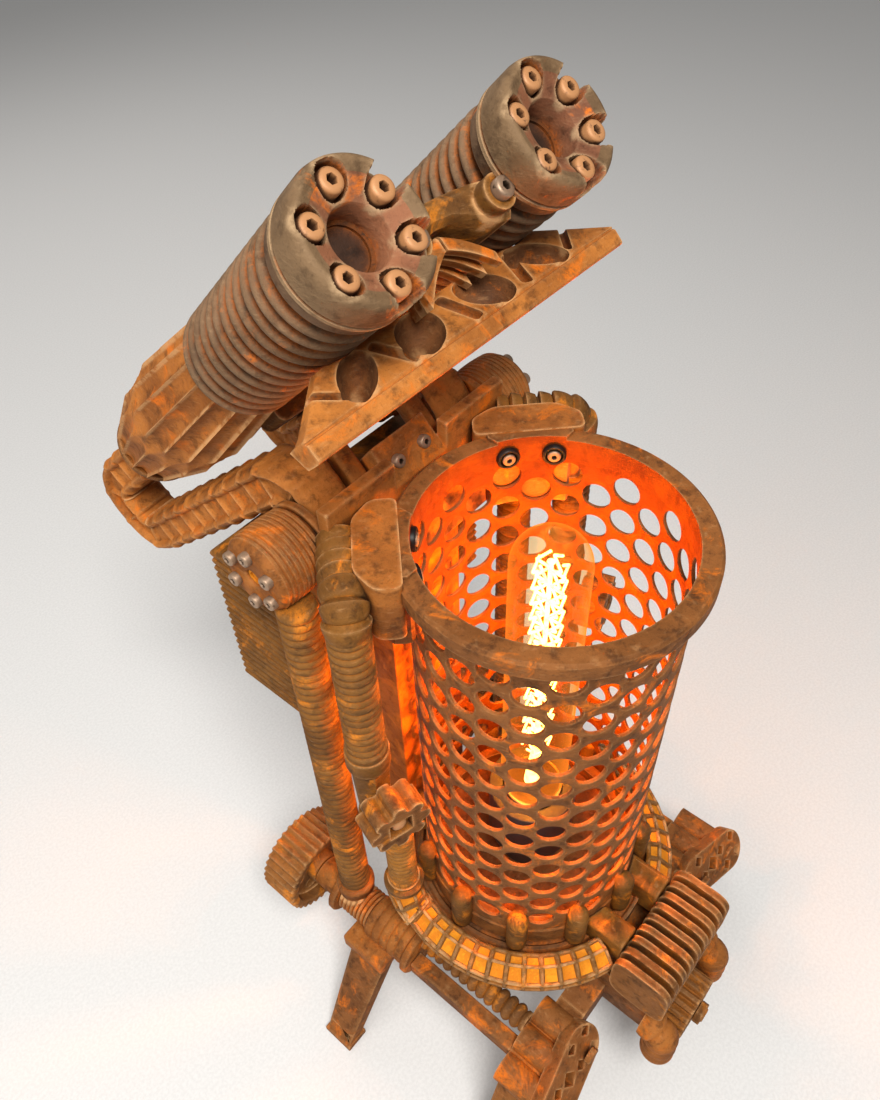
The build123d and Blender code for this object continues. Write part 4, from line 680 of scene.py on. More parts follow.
# Bulb: glass envelope, glass stem and bright zigzag strands
GLASS_LOW = RIM_Z - 160.0
BULB_FOOT = Vector((0, SHADE_Y, GLASS_LOW))
stem = [(4.2, 1.5), (3.4, 12), (1.4, 30), (0.9, 60), (0.9, 146), (1.6, 147)]
envelope = [(12.0, 0), (12.6, 3), (14.2, 8), (15.0, 12), (15.0, 145)]
envelope += [(15.0 * cos(k * pi / 24), 145 + 15 * sin(k * pi / 24)) for k in range(1, 12)]
piece("bulb_envelope", lathe([*envelope, (0, 160)], BULB_FOOT, UP, 64), "clear_glass", "bulb_glass")
strands = [lathe(capped(stem), BULB_FOOT, UP, 16)]
for strand in range(6):
    base_angle = tau * strand / 6
    corners = []
    for k in range(29):
        angle = base_angle + (0.42 if k % 2 else -0.42)
        reach = 6.6 if k % 2 else 4.6
        corners.append(BULB_FOOT + Vector((reach * cos(angle), reach * sin(angle), 30 + k * 4.2)))
    for low, high in zip(corners, corners[1:]):
        strands.append(lathe(capped([(0.55, 0), (0.55, (high - low).length)]), low, high - low, 6))
piece("bulb_strands", joined(strands), "filament_wire", "bulb_filament")

# Ring ducts: cells in the top and in the outer face, rising to the lower hoses
RING_MIDDLE = 64.5
RING_Z = RIM_Z - 218.0
LOWER_HOSE_X = 61.0
LOWER_HOSE_BACK = 28.0


def ring_duct(sign):
    """A square duct round the cup and up to its collar, every step of it one cell with a raised edge."""
    path = []
    for step in range(14):
        angle = radians(-90 + sign * (20.5 + step * 7.0))
        spot = Vector((RING_MIDDLE * cos(angle), SHADE_Y + RING_MIDDLE * sin(angle), RING_Z))
        path.append((spot, Vector((-sin(angle), cos(angle), 0)) * sign, Vector((cos(angle), sin(angle), 0))))
    rise = [(17.5, 2.0, 20), (23.0, 6.5, 50), (26.8, 13.5, 75), (28.0, 21.5, 90)]
    for back, up, tilt in rise:
        level = cos(radians(tilt))
        direction = Vector((-sign * 0.1 * level, level, sin(radians(tilt)))).normalized()
        side_x = sign * (LOWER_HOSE_X + 3.0 * (1 - up / 21.5))
        path.append((at(side_x, back, RING_Z + up), direction, Vector((sign, 0, 0))))
    half = 6.6
    outline = [
        (half, -half + 1), (half, 0.2), (0.2, half), (-half + 1, half),
        (-half, half - 1), (-half, -half + 1), (-half + 1, -half), (half - 1, -half),
    ]
    rings = []
    for point, direction, outward in path:
        over = outward.cross(direction).normalized() * sign
        rings.append([point + outward * a + over * b for a, b in outline])
    mesh = loops_to_mesh(rings)
    bmesh.ops.recalc_face_normals(mesh, faces=mesh.faces)
    mesh.faces.ensure_lookup_table()
    side_faces = list(mesh.faces)[: len(outline) * (len(rings) - 1)]
    cells = [face for index, face in enumerate(side_faces) if index % 8 in (0, 1, 2, 4)]
    bmesh.ops.inset_individual(mesh, faces=cells, thickness=1.15, depth=0.0)
    bmesh.ops.inset_individual(mesh, faces=cells, thickness=0.4, depth=-1.2)
    for face in cells:
        face.material_index = 1
    return rounded(mesh, 0.28, 2, 35)


COLLAR = [(0, 0), (8.6, 0), (9.4, 0.8), (9.4, 3.4), (8.6, 4.2), (7.6, 4.6), (7.6, 6)]
for side, sign in SIDES:
    collar = lathe(COLLAR, at(sign * LOWER_HOSE_X, LOWER_HOSE_BACK, RIM_Z - 199.2), UP, 48)
    piece(f"ring_duct_{side}_cells", ring_duct(sign), "olive_rust", f"ring_duct_{side}", more=("ochre_cell",))
    piece(f"ring_duct_{side}_collar", collar, "olive_rust")

# Hoses: each with its name, profile, place, turns, finish and the node that it replaces
VALVE_X = 66.0
VALVE_BACK = 34.0
REAR_HOSE_X = 64.0
REAR_HOSE_BACK = 62.0
LOWER_RIBS = ribbed(54, 16, 6.7, 5.0)
FRONT_RIBS = [(7.9, 0), (8.3, 0.7), (8.3, 3.0), (7.9, 3.7), *ribbed(72, 18, 7.8, 6.1, start=3.9)]
REAR_RIBS = ribbed(216, 52, 7.8, 6.2)
for side, sign in SIDES:
    for hose, ribs, (side_x, back, height), turns, finish, node in (
        ("lower", LOWER_RIBS, (LOWER_HOSE_X, LOWER_HOSE_BACK, -194), 48, "ochre_rust", "lower_hoses"),
        ("front", FRONT_RIBS, (VALVE_X, VALVE_BACK, -84), 56, "olive_rust", f"front_hose_{side}"),
        ("rear", REAR_RIBS, (REAR_HOSE_X, REAR_HOSE_BACK, -238), 56, "olive_rust", f"rear_hose_{side}"),
    ):
        skin = lathe(capped(ribs), at(sign * side_x, back, RIM_Z + height), UP, turns)
        taken = node == "lower_hoses" and sign < 0
        piece(f"{hose}_hose_{side}_ribs", skin, finish, "" if taken else node, sharp=80)
    valve_top = at(sign * VALVE_X, VALVE_BACK, RIM_Z - 14)
    route = [valve_top, valve_top + UP * 9.5, at(sign * 44, 58, RIM_Z - 4.5)]
    bend = bent_path(route, 9.0, 0.55, (route[2] - route[1]).cross(UP).normalized())
    elbow = scaled_rings(bend, 5.6, 8.5, 6.4)
    piece(f"hose_elbow_{side}_rings", elbow, "olive_rust", "hose_elbows" if sign > 0 else "", sharp=45)

# Valves: a collar over a tapered hexagonal body, and a lobed knob
KNOB_TURN = radians(17)
LOBE = ((0.4, 10.1), (0.31, 11.4), (0.25, 12.6), (0.15, 13.2))
LOBES = toothed(8, ((-0.5, 10.0), *((-share, reach) for share, reach in LOBE), (0, 13.4), *reversed(LOBE)))
KNOB_SQUARE = [(5, -5), (5, 5), (-5, 5), (-5, -5)]
KNOB_SCREW = [(0, 0), (3.4, 0), (3.4, 1.2), (2.9, 2.2), (1.8, 2.9), (0, 3.2)]
for side, sign in SIDES:
    dressed(f"valve_body_{side}", 0.8, "olive_rust")
    out = Vector((sign * sin(KNOB_TURN), -cos(KNOB_TURN), 0))
    knob_origin = at(sign * VALVE_X, VALVE_BACK, RIM_Z - 111) + out * 9.7
    over = UP.cross(out).normalized()
    node = f"valve_knob_{side}"
    lobes = rounded(extruded(LOBES, knob_origin, over, UP, 13.0), 0.9, 3, 50)
    knob = piece(f"{node}_lobes", lobes, "dark_rust", node, node)
    cut_from(knob, [rounded(extruded(KNOB_SQUARE, knob_origin + out * 9.5, over, UP, 5), 0.8)])
    screw = lathe(KNOB_SCREW, knob_origin + out * 9.4, out, 32)
    piece(f"{node}_screw", screw, "copper_screw", body=node)

# Drums: barrels with shallow grooves and six proud screws round an ochre hole
DRUM_SCREWS = 6
DRUM_GROOVES = 9
DRUM_FACE = 22.0
DRUM_BOLTS = 10.4
DRUM_GROOVE = ((-0.5, 0), (0, 0.35), (0, 1.4), (-0.5, 1.75))
DRUM_HUB = [(0, 0), (3.2, 0), (3.2, 1.2), (2.2, 1.4), (2.0, 0.6), (0, 0.5)]
profile = [(13.2, 0.0), (14.2, 0.6)]
for groove in range(DRUM_GROOVES):
    bulge = 15.0 + 0.7 * sin(pi * (groove + 0.5) / DRUM_GROOVES)
    profile += [(bulge + rise, 1.4 + groove * 2.15 + along) for rise, along in DRUM_GROOVE]
profile += [(14.4, 21.0), (13.6, 22.2), (12.4, 22.9), (4.2, 22.9), (3.6, 22.3), (3.4, 19)]
for side, sign in SIDES:
    node = f"drum_{side}"
    out = RIGHT * sign
    centre = at(sign * 48, 74, RIM_Z - 11.5)
    piece(f"{node}_barrel", lathe(capped(profile), centre, out, 84), "brown_rust", node, sharp=50)
    screws = []
    for k in range(DRUM_SCREWS):
        angle = tau * (k + 0.5) / DRUM_SCREWS
        spot = centre + out * DRUM_FACE + Vector((0, cos(angle), sin(angle))) * DRUM_BOLTS
        screws.append(socket_mesh(spot, out, 2.6, 3.4))
    piece(f"{node}_screws", joined(screws), "steel_screw", sharp=35)
    piece(f"{node}_hub", lathe(DRUM_HUB, centre + out * (DRUM_FACE - 1.5), out, 32), "ochre_cell")

# Cylinders: stacked round fins behind a collar
FINS = 12
FINS_START, FINS_END = 20.0, 88.0
FIN_PITCH = (FINS_END - FINS_START) / FINS
FIN = (
    (15.6, 0), (15.6, 0.34), (18.7, 0.42), (19.5, 0.52), (19.8, 0.68), (19.5, 0.84), (18.7, 0.94), (15.6, 1),
)
profile = [(0, 30), (7.8, 30), (7.8, 14.0), (15.5, 13.6), (18.9, 13.6), (19.5, 14.2), (19.5, 18.4)]
profile += [(18.9, 19.2), (15.8, 19.6)]
profile += [(reach, FINS_START + (fin + share) * FIN_PITCH) for fin in range(FINS) for reach, share in FIN]
for side, sign in SIDES:
    fins = lathe([*profile, (0, FINS_END)], head(sign * CYLINDER_X, 0, 0), HEAD_DOWN, 96)
    piece(f"cylinder_{side}_fins", fins, "worn_iron", f"cylinder_{side}", sharp=38)

CAP_BORE = 8.95
CAP_CREST = 18.0
CAP_BOLTS = 14.3
WELL_RADIUS = 5.0
WELL_DEPTH = 7.2
OPEN_WELLS = (0, 4, 5)
CAP_TURNS = 240
CAP_SIDE = ((1, 8.0), (1, 11.2), (0.965, 11.6), (0.965, 12.2), (1, 12.6), (1, 13.8), (0.75, 13.9))
CAP_REACHES = [3.5, 7.0, 7.35, 8.7, 9.0, *[9.3 + 0.33 * k for k in range(34)], 20.5]


def cap_depth(across, rise):
    """How deep the cap's face lies: a bevelled crest, a dish, the bore and six wells, three open sideways."""
    reach = hypot(across, rise)
    if reach < CAP_BORE:
        return 24.0 if reach < 7.3 else 13.0
    if reach > CAP_CREST:
        depth = 3.6 * (1 - sqrt(max(0.0, 1 - min(1.0, (reach - CAP_CREST) / 2.5) ** 2)))
    else:
        depth = 4.6 * ((CAP_CREST - reach) / 9.0) ** 1.1
    for well in range(6):
        angle = radians(30 + 60 * well)
        out = across * cos(angle) + rise * sin(angle) - CAP_BOLTS
        aside = across * sin(angle) - rise * cos(angle)
        if out > 0 and well in OPEN_WELLS:
            out = 0
        depth = max(depth, WELL_DEPTH * eased((WELL_RADIUS - hypot(out, aside)) / 0.7))
    return depth


for side, sign in SIDES:
    rings = [[head(sign * CYLINDER_X, 0, 24)]]
    for reach in CAP_REACHES:
        outline = circle(reach, CAP_TURNS)
        rings.append([head(sign * CYLINDER_X + a, b, cap_depth(a, b)) for a, b in outline])
    for share, down in CAP_SIDE:
        rings.append([head(sign * CYLINDER_X + a * share, b * share, down) for a, b in outline])
    mesh = loops_to_mesh(rings)
    # Faces in the bore take the near-black rust that paints shade in it; faces on the crest and side take the
    # tan rust.
    for face in mesh.faces:
        offset = face.calc_center_median() - head(sign * CYLINDER_X, 0, 0)
        reach = hypot(offset.dot(RIGHT), offset.dot(HEAD_UP))
        if reach < 8.7:
            face.material_index = 2
        elif reach > 19.8 or offset.dot(HEAD_DOWN) < 1.3:
            face.material_index = 1
    cap = f"cylinder_cap_{side}"
    piece(f"{cap}_dish", mesh, "cap_web", cap, sharp=60, more=("tan_iron", "bore_painted_shade"))


CONE_END = 185.0


def cone_wave(angle, down, radius):
    """The tail cone between its ends: two cones with concave flutes, half a flute apart, meet in a zigzag."""
    if radius != 1:
        return radius
    share = (angle * 16 / tau) % 1.0
    first = 17.6 + 5.4 * (down - FINS_END) / 62 - 1.7 * sin(pi * share)
    second = 16.0 + 6.6 * (186 - down) / 40 - 1.5 * abs(cos(pi * share))
    first += 1.2 * max(0.0, 1 - min(share, 1 - share) / 0.08)
    second += 1.1 * max(0.0, 1 - abs(share - 0.5) / 0.08)
    return min(first, second)


CONE_PROFILE = [(0, FINS_END), *[(1, FINS_END + k * 2.0) for k in range(50)], (14.5, 186.2), (0, 186.2)]
CONE_RING = [(12.5, 184.5), (16.4, 184.5), (16.9, 185.3), (16.9, 187.0), (16.2, 187.9), (12.5, 187.9)]
for side, sign in SIDES:
    top = head(sign * CYLINDER_X, 0, 0)
    cone = lathe(CONE_PROFILE, top, HEAD_DOWN, 320, cone_wave, start=HEAD_UP)
    piece(f"tail_cone_{side}_flutes", cone, "pale_rust", "tail_cones" if sign > 0 else "", sharp=28)
    piece(f"tail_cone_{side}_ring", lathe(CONE_RING, top, HEAD_DOWN, 72), "dark_rust")

# Square ducts from the cones back to the shoulders
DUCT_YAW = 0.06
DUCT_BENDS = ((204.8, -56.3), (183.9, -77.1), (76, 16.2), (76, -22))


def duct_outline(length):
    """A rounded square with a bead along each edge of its side faces and ridges all round, 12.6 mm apart."""
    along = (length % 12.6) / 12.6
    ridge = eased(1 - abs(along - 0.5) / 0.15)
    half = 8.3 + 1.1 * ridge
    low = 6.9 + 1.5 * ridge
    lower = [(4.5, 0), (6.4, 0), (7.6, 0.35), (8.5, 1.0), (9.3, 1.6), (9.8, 2.4), (9.6, 3.2), (8.7, 3.9)]
    lower += [(low, 4.6), (low, half - 2.2)]
    points = [(a, b - half) for a, b in lower] + [(low + 0.1, 0)]
    points += [(a, half - b) for a, b in reversed(lower)] + [(0, half)]
    return points + [(-a, -b) for a, b in points]


for side, sign in SIDES:
    run = Vector((sign * DUCT_YAW, 1, 0)).normalized()
    aside = UP.cross(run)
    start = HEAD_BACK + CONE_END * cos(HEAD_TILT)
    foot = Vector((sign * (CYLINDER_X - DUCT_YAW * start), SHADE_Y, RIM_Z))
    corners = [(start, HEAD_RISE - CONE_END * sin(HEAD_TILT)), *DUCT_BENDS]
    route = bent_path([foot + run * a + UP * b for a, b in corners], 12.0, 0.6, aside)
    piece(f"s_duct_{side}_shell", swept(route, duct_outline), "pale_rust", f"s_duct_{side}", sharp=40)


def round_corners(points, radius, steps):
    """A closed outline with each corner replaced by a short curve."""
    corners = [Vector(point) for point in points]
    outline = []
    for index, here in enumerate(corners):
        before, after = corners[index - 1] - here, corners[(index + 1) % len(corners)] - here
        cut = min(radius, 0.48 * before.length, 0.48 * after.length)
        start, end = here + before.normalized() * cut, here + after.normalized() * cut
        for step in range(steps + 1):
            share = step / steps
            spot = start * (1 - share) ** 2 + here * 2 * share * (1 - share) + end * share ** 2
            outline.append((spot.x, spot.y))
    return outline


def box_outline(left, low, right, high, radius, steps=4):
    """A rectangle with round corners."""
    return round_corners([(left, low), (right, low), (right, high), (left, high)], radius, steps)


def block(centre, size, offset=0.6):
    """A rectangular block with rounded edges."""
    mesh = bmesh.new()
    bmesh.ops.create_cube(mesh, size=1)
    bmesh.ops.scale(mesh, vec=size, verts=mesh.verts)
    bmesh.ops.translate(mesh, vec=centre, verts=mesh.verts)
    return rounded(mesh, offset)


def plate_x(outline, side_x, back, height, thickness, offset=0.5):
    """An outline of (towards the rear, up) points as a plate across X, with rounded edges."""
    return rounded(extruded(outline, at(side_x, back, height), Vector((0, 1, 0)), UP, thickness), offset)


# Visor: a pointed bar with a flat lip, a face that slopes back from it, four oval bowls and slanted slots
VISOR_FACE = 30.0
VISOR_HALF = 72.0
VISOR_SLOPE = 0.72
VISOR_LIP = -33.2
stations = 60
rings = []
for station in range(stations + 1):
    side_x = -VISOR_HALF + station * 2 * VISOR_HALF / stations
    top = min(-19.0, -32.6 + (VISOR_HALF - abs(side_x)) * 0.62)
    rise = top - VISOR_LIP
    back = 0.6 + VISOR_SLOPE * rise
    section = [
        (-39.5, 1.2), (-39.2, 0.4), (-38.6, 0), (-34.4, 0), (-33.9, 0.2), (-33.6, 0.9), (VISOR_LIP, 0.9),
        (-33.0 + 0.04 * rise, 0.6), (top - 0.15 * rise, back - VISOR_SLOPE * 0.15 * rise - 0.2),
        (top - 0.03 * rise, back - 0.1), (top, back + 0.5), (top, back + 4.5),
        (VISOR_LIP + 0.35 * rise, 10 + 0.4 * rise), (-38.9, 7.8), (-39.5, 7.2),
    ]
    rings.append([head(side_x, up, VISOR_FACE + down) for up, down in section])
visor = piece("visor_bar", loops_to_mesh(rings), "pale_rust", "visor", sharp=30, more=("recess_painted_shade",))
SLOPE_UP = (HEAD_UP + HEAD_DOWN * VISOR_SLOPE).normalized()
SLOPE_OUT = RIGHT.cross(SLOPE_UP)
SLOPE_TURN = Matrix((RIGHT, SLOPE_UP, SLOPE_OUT)).transposed().to_4x4()


def on_slope(mesh, side_x, up, lift, slant, size):
    """Lays a unit mesh on the visor's sloped face, turned by slant degrees."""
    place = head(side_x, up, VISOR_FACE + 0.5 + VISOR_SLOPE * (up - VISOR_LIP)) + SLOPE_OUT * lift
    shape = Matrix.Translation(place) @ SLOPE_TURN @ Matrix.Rotation(radians(slant), 4, "Z")
    bmesh.ops.transform(mesh, matrix=shape @ Matrix.Diagonal((*size, 1)), verts=mesh.verts)


POCKETS = ((-43.5, 42, 11.0, 5.8), (-17, 36, 10.2, 7.6), (13, -36, 10.2, 7.6), (40, -42, 11.0, 5.8))
visor_cuts = []
for pocket_x, slant, long, short in POCKETS:
    bowl = bmesh.new()
    bmesh.ops.create_uvsphere(bowl, u_segments=48, v_segments=24, radius=1)
    on_slope(bowl, pocket_x, -26.2, 1.0, slant, (long, short, 9.5))
    visor_cuts.append(bowl)
for slot_x, slant, width in ((-29, 24, 4.4), (0, 14, 4.6), (29, -24, 4.4), (-55, 44, 3.0), (55, -44, 3.0)):
    slot = bmesh.new()
    bmesh.ops.create_cube(slot, size=1)
    on_slope(slot, slot_x, -26.6, 0.4, slant, (width, 15.0, 7.6))
    visor_cuts.append(rounded(slot, 1.4, 3))
# The bowls' and slots' faces take the darker rust, painted shade in the recesses.
for cutter in visor_cuts:
    for face in cutter.faces:
        face.material_index = 1
for sign in (-1, 1):
    bore = head(sign * CYLINDER_X, 0, VISOR_FACE + 20)
    visor_cuts.append(extruded(circle(20.0, 64), bore, RIGHT, HEAD_UP, 24))
cut_from(visor, visor_cuts, 30)

# Bridge between the cylinders: a rounded strap with screw bosses, fins down to the visor and a cradle
stations = [(21.5, 17, -1, -14), (17, 18.5, 0.5, -13), (12, 20, 1.5, -10), (6, 22, 2.5, -6), (0, 24, 3, -5)]
stations += [(-across, *rest) for across, *rest in reversed(stations[:-1])]
bars = []
for across, front, top, low in stations:
    bars.append([
        head(across, low, front + 2), head(across, low + 2, front), head(across, top - 2, front),
        head(across, top, front + 2), head(across, top, 86), head(across, -9, 86), head(across, low, 44),
    ])
bridge = [rounded(loops_to_mesh(bars), 0.8, 2, 30)]
RIB = ((-1.7, 5), (-1.7, 1.5), (-1.4, 0.7), (-0.8, 0.2), (0, 0), (0.8, 0.2), (1.4, 0.7), (1.7, 1.5), (1.7, 5))
ribs = []
for sign in (-1, 1):
    boss = extruded(circle(5.6, 40), head(sign * 18.6, -6.2, 26), RIGHT, HEAD_UP, 12.0)
    bridge.append(rounded(boss, 1.6, 4, 40))
    for rib in range(3):
        rings = []
        for step in range(13):
            along = step / 12
            side_x = sign * (0.5 + (15.5 - 2 * rib) * along)
            lift = -6.5 - 11.5 * along + 1.2 * sin(pi * along)
            rings.append([head(side_x, lift - drop, 27.5 + 6 * rib + aside) for aside, drop in RIB])
        ribs.append(loops_to_mesh(rings))
piece("cylinder_bridge_ribs", joined(ribs), "brown_rust", sharp=50)
cradle = extruded(box_outline(-34, -24, 34, -9, 4, 5), head(0, 0, 119), RIGHT, HEAD_UP, 15)
core = extruded(box_outline(-12, -16, 12, 5, 3), head(0, 0, 119), RIGHT, HEAD_UP, 37)
bridge += [rounded(cradle, 1.4, 3, 40), rounded(core, 1, 2, 40)]
piece("cylinder_bridge_strap", joined(bridge), "olive_rust", "cylinder_bridge", sharp=40)

# Radiators: stacks of thin plates with pointed edges beside the spine
PLATES = 19
PLATE_EDGE = ((0.3, 0.25), (0.5, 0.0), (0.7, 0.25), (1.0, 1.9))
levels = [(0.0, 1.9), *((plate + share, inset) for plate in range(PLATES) for share, inset in PLATE_EDGE)]
for side, sign in SIDES:
    low, high = (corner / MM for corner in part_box(f"radiator_{side}"))
    middle = (low + high) / 2
    half = (high - low) / 2
    rings = []
    for level, inset in levels:
        height = low.z + level * (high.z - low.z) / PLATES
        outline = box_outline(inset - half.x, inset - half.y, half.x - inset, half.y - inset, 1.2, 2)
        rings.append([Vector((middle.x + a, middle.y + b, height)) for a, b in outline])
    piece(f"radiator_{side}_plates", loops_to_mesh(rings), "olive_rust", f"radiator_{side}", sharp=28)

# Fin block on the nose: nine rounded fins on a core
FIN_LOW = RIM_Z - 234.0
FIN_THICKNESS = 3.4
fins = [plate_x(box_outline(-10, 0, 12, 23, 4), -26, -81, FIN_LOW, 52)]
for fin in range(9):
    side_x = -28 + fin * (56 - FIN_THICKNESS) / 8
    fins.append(plate_x(box_outline(-14, 0, 14, 31, 8.5, 8), side_x, -81, FIN_LOW, FIN_THICKNESS, 1.1))
piece("front_fin_stack", joined(fins), "dark_rust", "front_fin_block")

# Ribbed elbows beside the front gear
ELBOW_FOOT = [(0, 0), (6.6, 0), (7.0, 0.6), (7.0, 2.4), (6.2, 3.2), (0, 3.2)]
ELBOW_LOW = 57.6
for side, sign in SIDES:
    side_x = sign * 24.2
    route = bent_path([at(side_x, -87, 80), at(side_x, -97, 80), at(side_x, -97, ELBOW_LOW)], 7.0, 0.6, RIGHT)
    elbow = [scaled_rings(route, 7.4, 8.3, 6.6, 44), lathe(ELBOW_FOOT, at(side_x, -97, ELBOW_LOW), UP, 40)]
    node = "front_elbows" if sign > 0 else ""
    piece(f"front_elbow_{side}_rings", joined(elbow), "brown_rust", node, sharp=60)

# Coiled rods above the side rails
for side, sign in SIDES:
    coil = [(5.2, 0), (5.2, 2), *ribbed(56, 11, 6.0, 4.2, start=3.0, blunt=0.7), (5.2, 60), (5.2, 62)]
    rod = lathe(capped(coil), at(sign * 61, -46, 80), -FRONT, 44)
    piece(f"coil_rod_{side}_turns", rod, "dark_rust", "coil_rods" if sign > 0 else "", sharp=60)

# Rear sleeves: flange, grooved barrel, bellows and disc, with the hose's boss and the leg's pad
REAR_AXLE_Z = 75
SLEEVE = [(12.6, 16), (13.5, 16.8), (13.5, 19.2), (12.6, 20), (11.0, 20.2)]
SLEEVE += ribbed(25.4, 5, 11.7, 10.7, 6, start=20.4, blunt=0.3)
SLEEVE += ribbed(19.6, 8, 9.7, 8.1, 6, start=46.2, blunt=0.6)
SLEEVE += [(12.2, 66.1), (13.0, 66.8), (13.0, 69.2), (12.2, 70), (8.2, 70.2), (8.2, 83.3), (7.6, 83.7)]
SLEEVE += [(4.0, 83.7), (4.0, 111.4), (3.4, 112)]
BOSS = [(9.0, 0), (9.0, 12.5), (9.7, 13.2), (9.7, 15.8), (9.0, 16.6), (8.0, 17)]
for side, sign in SIDES:
    sleeve = joined([
        lathe(capped(SLEEVE), at(sign * 66, 0, REAR_AXLE_Z), -FRONT, 56),
        block(at(sign * 58, 29, 74), (12, 14, 16)),
        block(at(sign * 75, 41, 65), (20, 26, 10), 1.2),
        lathe(capped(BOSS), at(sign * REAR_HOSE_X, REAR_HOSE_BACK, REAR_AXLE_Z), UP, 48),
    ])
    piece(f"rear_sleeve_{side}_barrel", sleeve, "brown_rust", f"rear_sleeve_{side}", sharp=50)

# Rear wheels: rounded teeth all round a deep rim, and a recessed web with round windows
TEETH = 34
TOOTH = ((-0.5, 23.1), (-0.36, 23.2), (-0.22, 24.5), (0.0, 25.0), (0.22, 24.5), (0.36, 23.2))
WHEEL_WIDTH = 22
WEB = [(4.1, 0.3), (8.0, 0.3), (8.6, 1.0), (8.6, 5.6), (9.6, 6.4), (18.6, 6.4), (20.2, 5.0)]
WEB += [(reach, WHEEL_WIDTH - along) for reach, along in reversed(WEB)] + WEB[:1]
outline = toothed(TEETH, TOOTH)
hole = toothed(TEETH, [(share, 19.8) for share, _ in TOOTH])
for side, sign in SIDES:
    wheel = f"rear_wheel_{side}"
    rear_face = at(sign * 66, 106, REAR_AXLE_Z)
    rim = rounded(extruded(outline, rear_face, RIGHT, UP, WHEEL_WIDTH, hole), 0.8, 2, 60)
    piece(f"{wheel}_rim", rim, "dark_rust", wheel, wheel, sharp=50)
    web = piece(f"{wheel}_web", ring_lathe(WEB, rear_face, FRONT, 72), "dark_rust", "", wheel, sharp=50)
    windows = []
    for across, rise in circle(14.2, 6):
        windows.append(extruded(circle(3.6, 28), rear_face + Vector((across, 2, rise)), RIGHT, UP, 26))
    cut_from(web, windows, 50)

# The other nodes, with the radius that rounds their edges
REMAINING = {
    "lampholder": 0.6, "bulb_cap": 0.4, "base_frame": 1.0, "cable_gland": 0.4, "fin_connectors": 1.0,
    "front_block_left": 0.8, "front_block_right": 0.8, "star_plates": 0.8, "front_legs": 0.9,
    "rear_legs": 0.9, "side_beams": 0.8, "front_gear": 0.4, "gear_axle": 0.4, "hex_nuts": 0.5,
    "spine_column": 0.8, "neck_block": 0.9, "struts": 1.6,
}
# The spine column takes the orange rust that paints the bulb's glow on it.
for node, offset in REMAINING.items():
    dressed(node, offset, "spine_painted_glow" if node == "spine_column" else None)

# Star plates lean back against the blocks
star_plates = bpy.data.objects["star_plates_body"]
hinge = at(0, -71.5, 73.5) * MM
lean = Matrix.Translation(hinge) @ Matrix.Rotation(radians(-33), 4, "X") @ Matrix.Translation(-hinge)
star_plates.data.transform(lean)

# Plates on the legs' outer faces: each goes from its leg's shoulder, at the first place, to its foot
PANEL_ENDS = ((77.5, 55.5, 10.2), (104.0, 8.0, 7.6))
panels = []
for sign in (-1, 1):
    for back in (-57, 41):
        rings = []
        for side_x, height, half in PANEL_ENDS:
            section = ((-half, 0.5), (half, 0.5), (half, 4.3), (half - 1, 5), (1 - half, 5), (-half, 4.3))
            places = [(side_x + 0.875 * lift, back + step, height + 0.484 * lift) for step, lift in section]
            rings.append([at(sign * out, *place) for out, *place in places])
        panels.append(loops_to_mesh(rings))
piece("leg_panels", joined(panels), "rusted_iron", sharp=25)

# Rounded octagonal pads over the rim's two lugs
PAD_FOOT = Vector((0, SHADE_Y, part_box("shade_rim")[1].z / MM - 25.0))
pad_outline = round_corners([(51.5, -21), (61, -21), (67.5, -12), (67.5, 12), (61, 21), (51.5, 21)], 3, 5)
pads = []
for sign in (-1, 1):
    outward = Vector((sign * sin(radians(45)), cos(radians(45)), 0))
    pads.append(rounded(extruded(pad_outline, PAD_FOOT, outward, UP.cross(outward), 25.4), 2.2, 4, 40))
piece("rim_lug_pads", joined(pads), "brown_rust", sharp=50)

# Copper screws of the cylinder caps, each in its well, and steel ones on the neck's slope and the strap
cap_screws = []
for sign in (-1, 1):
    for k in range(6):
        angle = radians(30 + 60 * k)
        spot = head(sign * CYLINDER_X + CAP_BOLTS * cos(angle), CAP_BOLTS * sin(angle), 6.8)
        cap_screws.append(socket_mesh(spot, -HEAD_DOWN, 3.65, 5.6))
piece("cap_screw_heads", joined(cap_screws), "copper_screw", "cap_screws", sharp=35)
for name, spot, facing, size in (
    ("a", at(-7, 64, RIM_Z + 3.5), (0, -1, 0.4), 2.6), ("b", at(7, 64, RIM_Z + 3.5), (0, -1, 0.4), 2.6),
    ("c", head(-18.6, -6.2, 14.0), -HEAD_DOWN, 3.4), ("d", head(18.6, -6.2, 14.0), -HEAD_DOWN, 3.4),
):
    piece(f"small_screw_{name}", socket_mesh(spot, facing, size, size), "steel_screw", sharp=35)

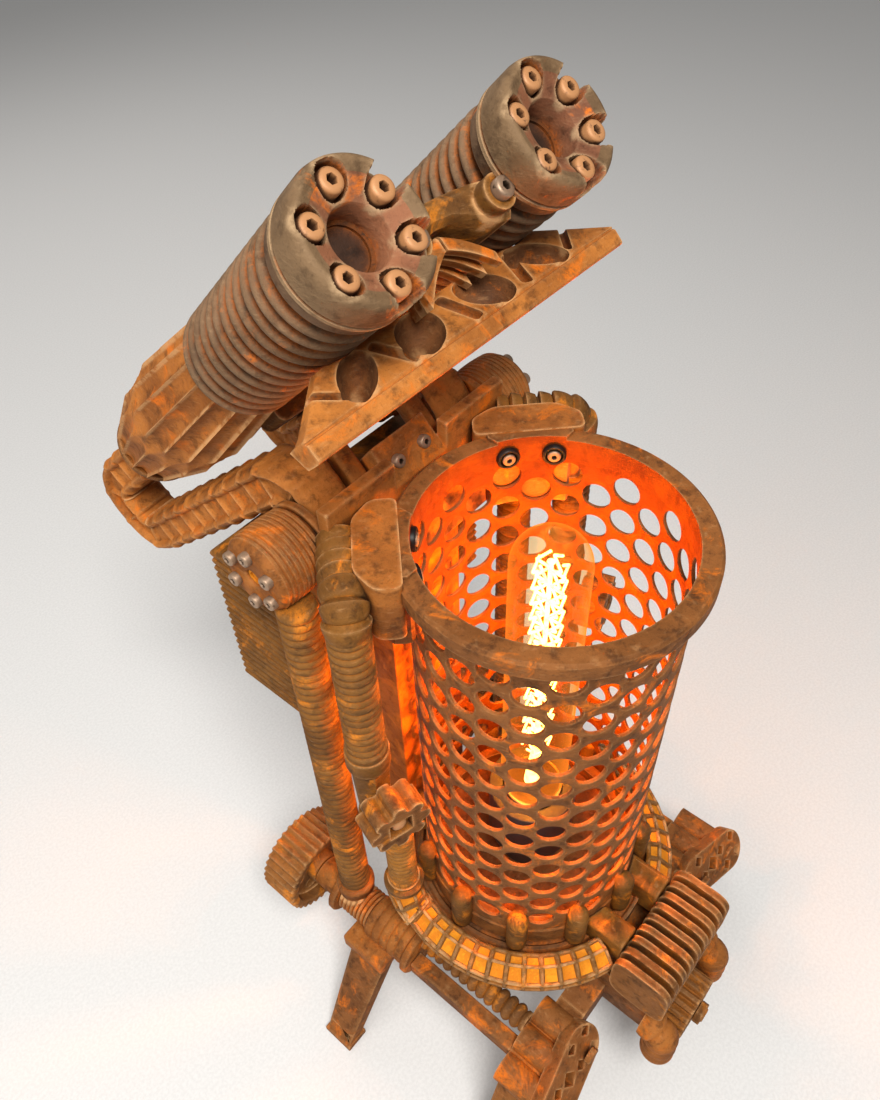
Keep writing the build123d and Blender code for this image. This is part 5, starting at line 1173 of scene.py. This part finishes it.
# Camera, light and floor
CAMERA_PLACE = at(-187.7, -116.3, RIM_Z + 220.9) * MM
CAMERA_FORWARD = Vector((0.5175, 0.4618, -0.7203))
CAMERA_RIGHT = Vector((0.6424, -0.7658, -0.0294))
PHOTO_HEIGHT = 1100
FOCAL_PIXELS = 926.6
SENSOR = 36.0
camera = placed("camera", bpy.data.cameras.new("camera"))
camera.data.sensor_fit = "VERTICAL"
camera.data.sensor_height = SENSOR
camera.data.lens = FOCAL_PIXELS / PHOTO_HEIGHT * SENSOR
camera.data.clip_start = 0.01
back = -CAMERA_FORWARD.normalized()
across = (CAMERA_RIGHT - back * CAMERA_RIGHT.dot(back)).normalized()
facing = Matrix((across, back.cross(across), back)).transposed().to_4x4()
camera.matrix_world = Matrix.Translation(CAMERA_PLACE) @ facing
bpy.context.scene.camera = camera


def area_light(name, place, aim, size, power, colour):
    """A soft studio panel."""
    lamp = bpy.data.lights.new(name, "AREA")
    lamp.size = size
    lamp.energy = power
    lamp.color = colour
    obj = placed(name, lamp)
    obj.location = place
    obj.rotation_euler = (Vector(aim) - Vector(place)).to_track_quat("-Z", "Y").to_euler()


area_light("key", (-0.35, -0.5, 1.25), (0, 0, 0.25), 0.4, 18, (1, 0.97, 0.93))
area_light("fill", (-1.0, 0.1, 0.8), (0, 0, 0.3), 0.8, 7, (1, 0.96, 0.92))
area_light("rear", (0.3, 1.1, 1.1), (0, 0, 0.3), 0.9, 5, (1, 0.96, 0.92))
GLASS_BOTTOM, GLASS_TOP = (corner.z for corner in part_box("bulb_glass"))
for share in (0.2, 0.5, 0.8):
    bulb_light = bpy.data.lights.new("bulb_light", "POINT")
    bulb_light.energy = 1.3
    bulb_light.color = (1.0, 0.34, 0.02)
    bulb_light.shadow_soft_size = 8 * MM
    obj = placed("bulb_light", bulb_light)
    obj.location = (0, SHADE_Y * MM, GLASS_BOTTOM + share * (GLASS_TOP - GLASS_BOTTOM))
    obj.visible_glossy = False

world = bpy.data.worlds.new("studio")
world.use_nodes = True
sky = world.node_tree.nodes["Background"].inputs
sky["Color"].default_value = (0.96, 0.95, 0.94, 1)
sky["Strength"].default_value = 0.26
bpy.context.scene.world = world

floor_mesh = bmesh.new()
bmesh.ops.create_grid(floor_mesh, x_segments=1, y_segments=1, size=3)
floor_data = to_data(floor_mesh, "floor")
floor_look = Nodes("pale_floor")
floor_grain = floor_look.band(floor_look.noise(600, 3, 0.6), 0.3, 0.7)
floor_tone = floor_look.blend(floor_grain, (0.62, 0.62, 0.615), (0.68, 0.68, 0.675))
floor_look.feed(floor_look.shader, Base_Color=floor_tone, Roughness=0.9)
floor_data.materials.append(floor_look.material)
floor = placed("floor", floor_data)

bpy.context.scene.view_settings.view_transform = "Standard"
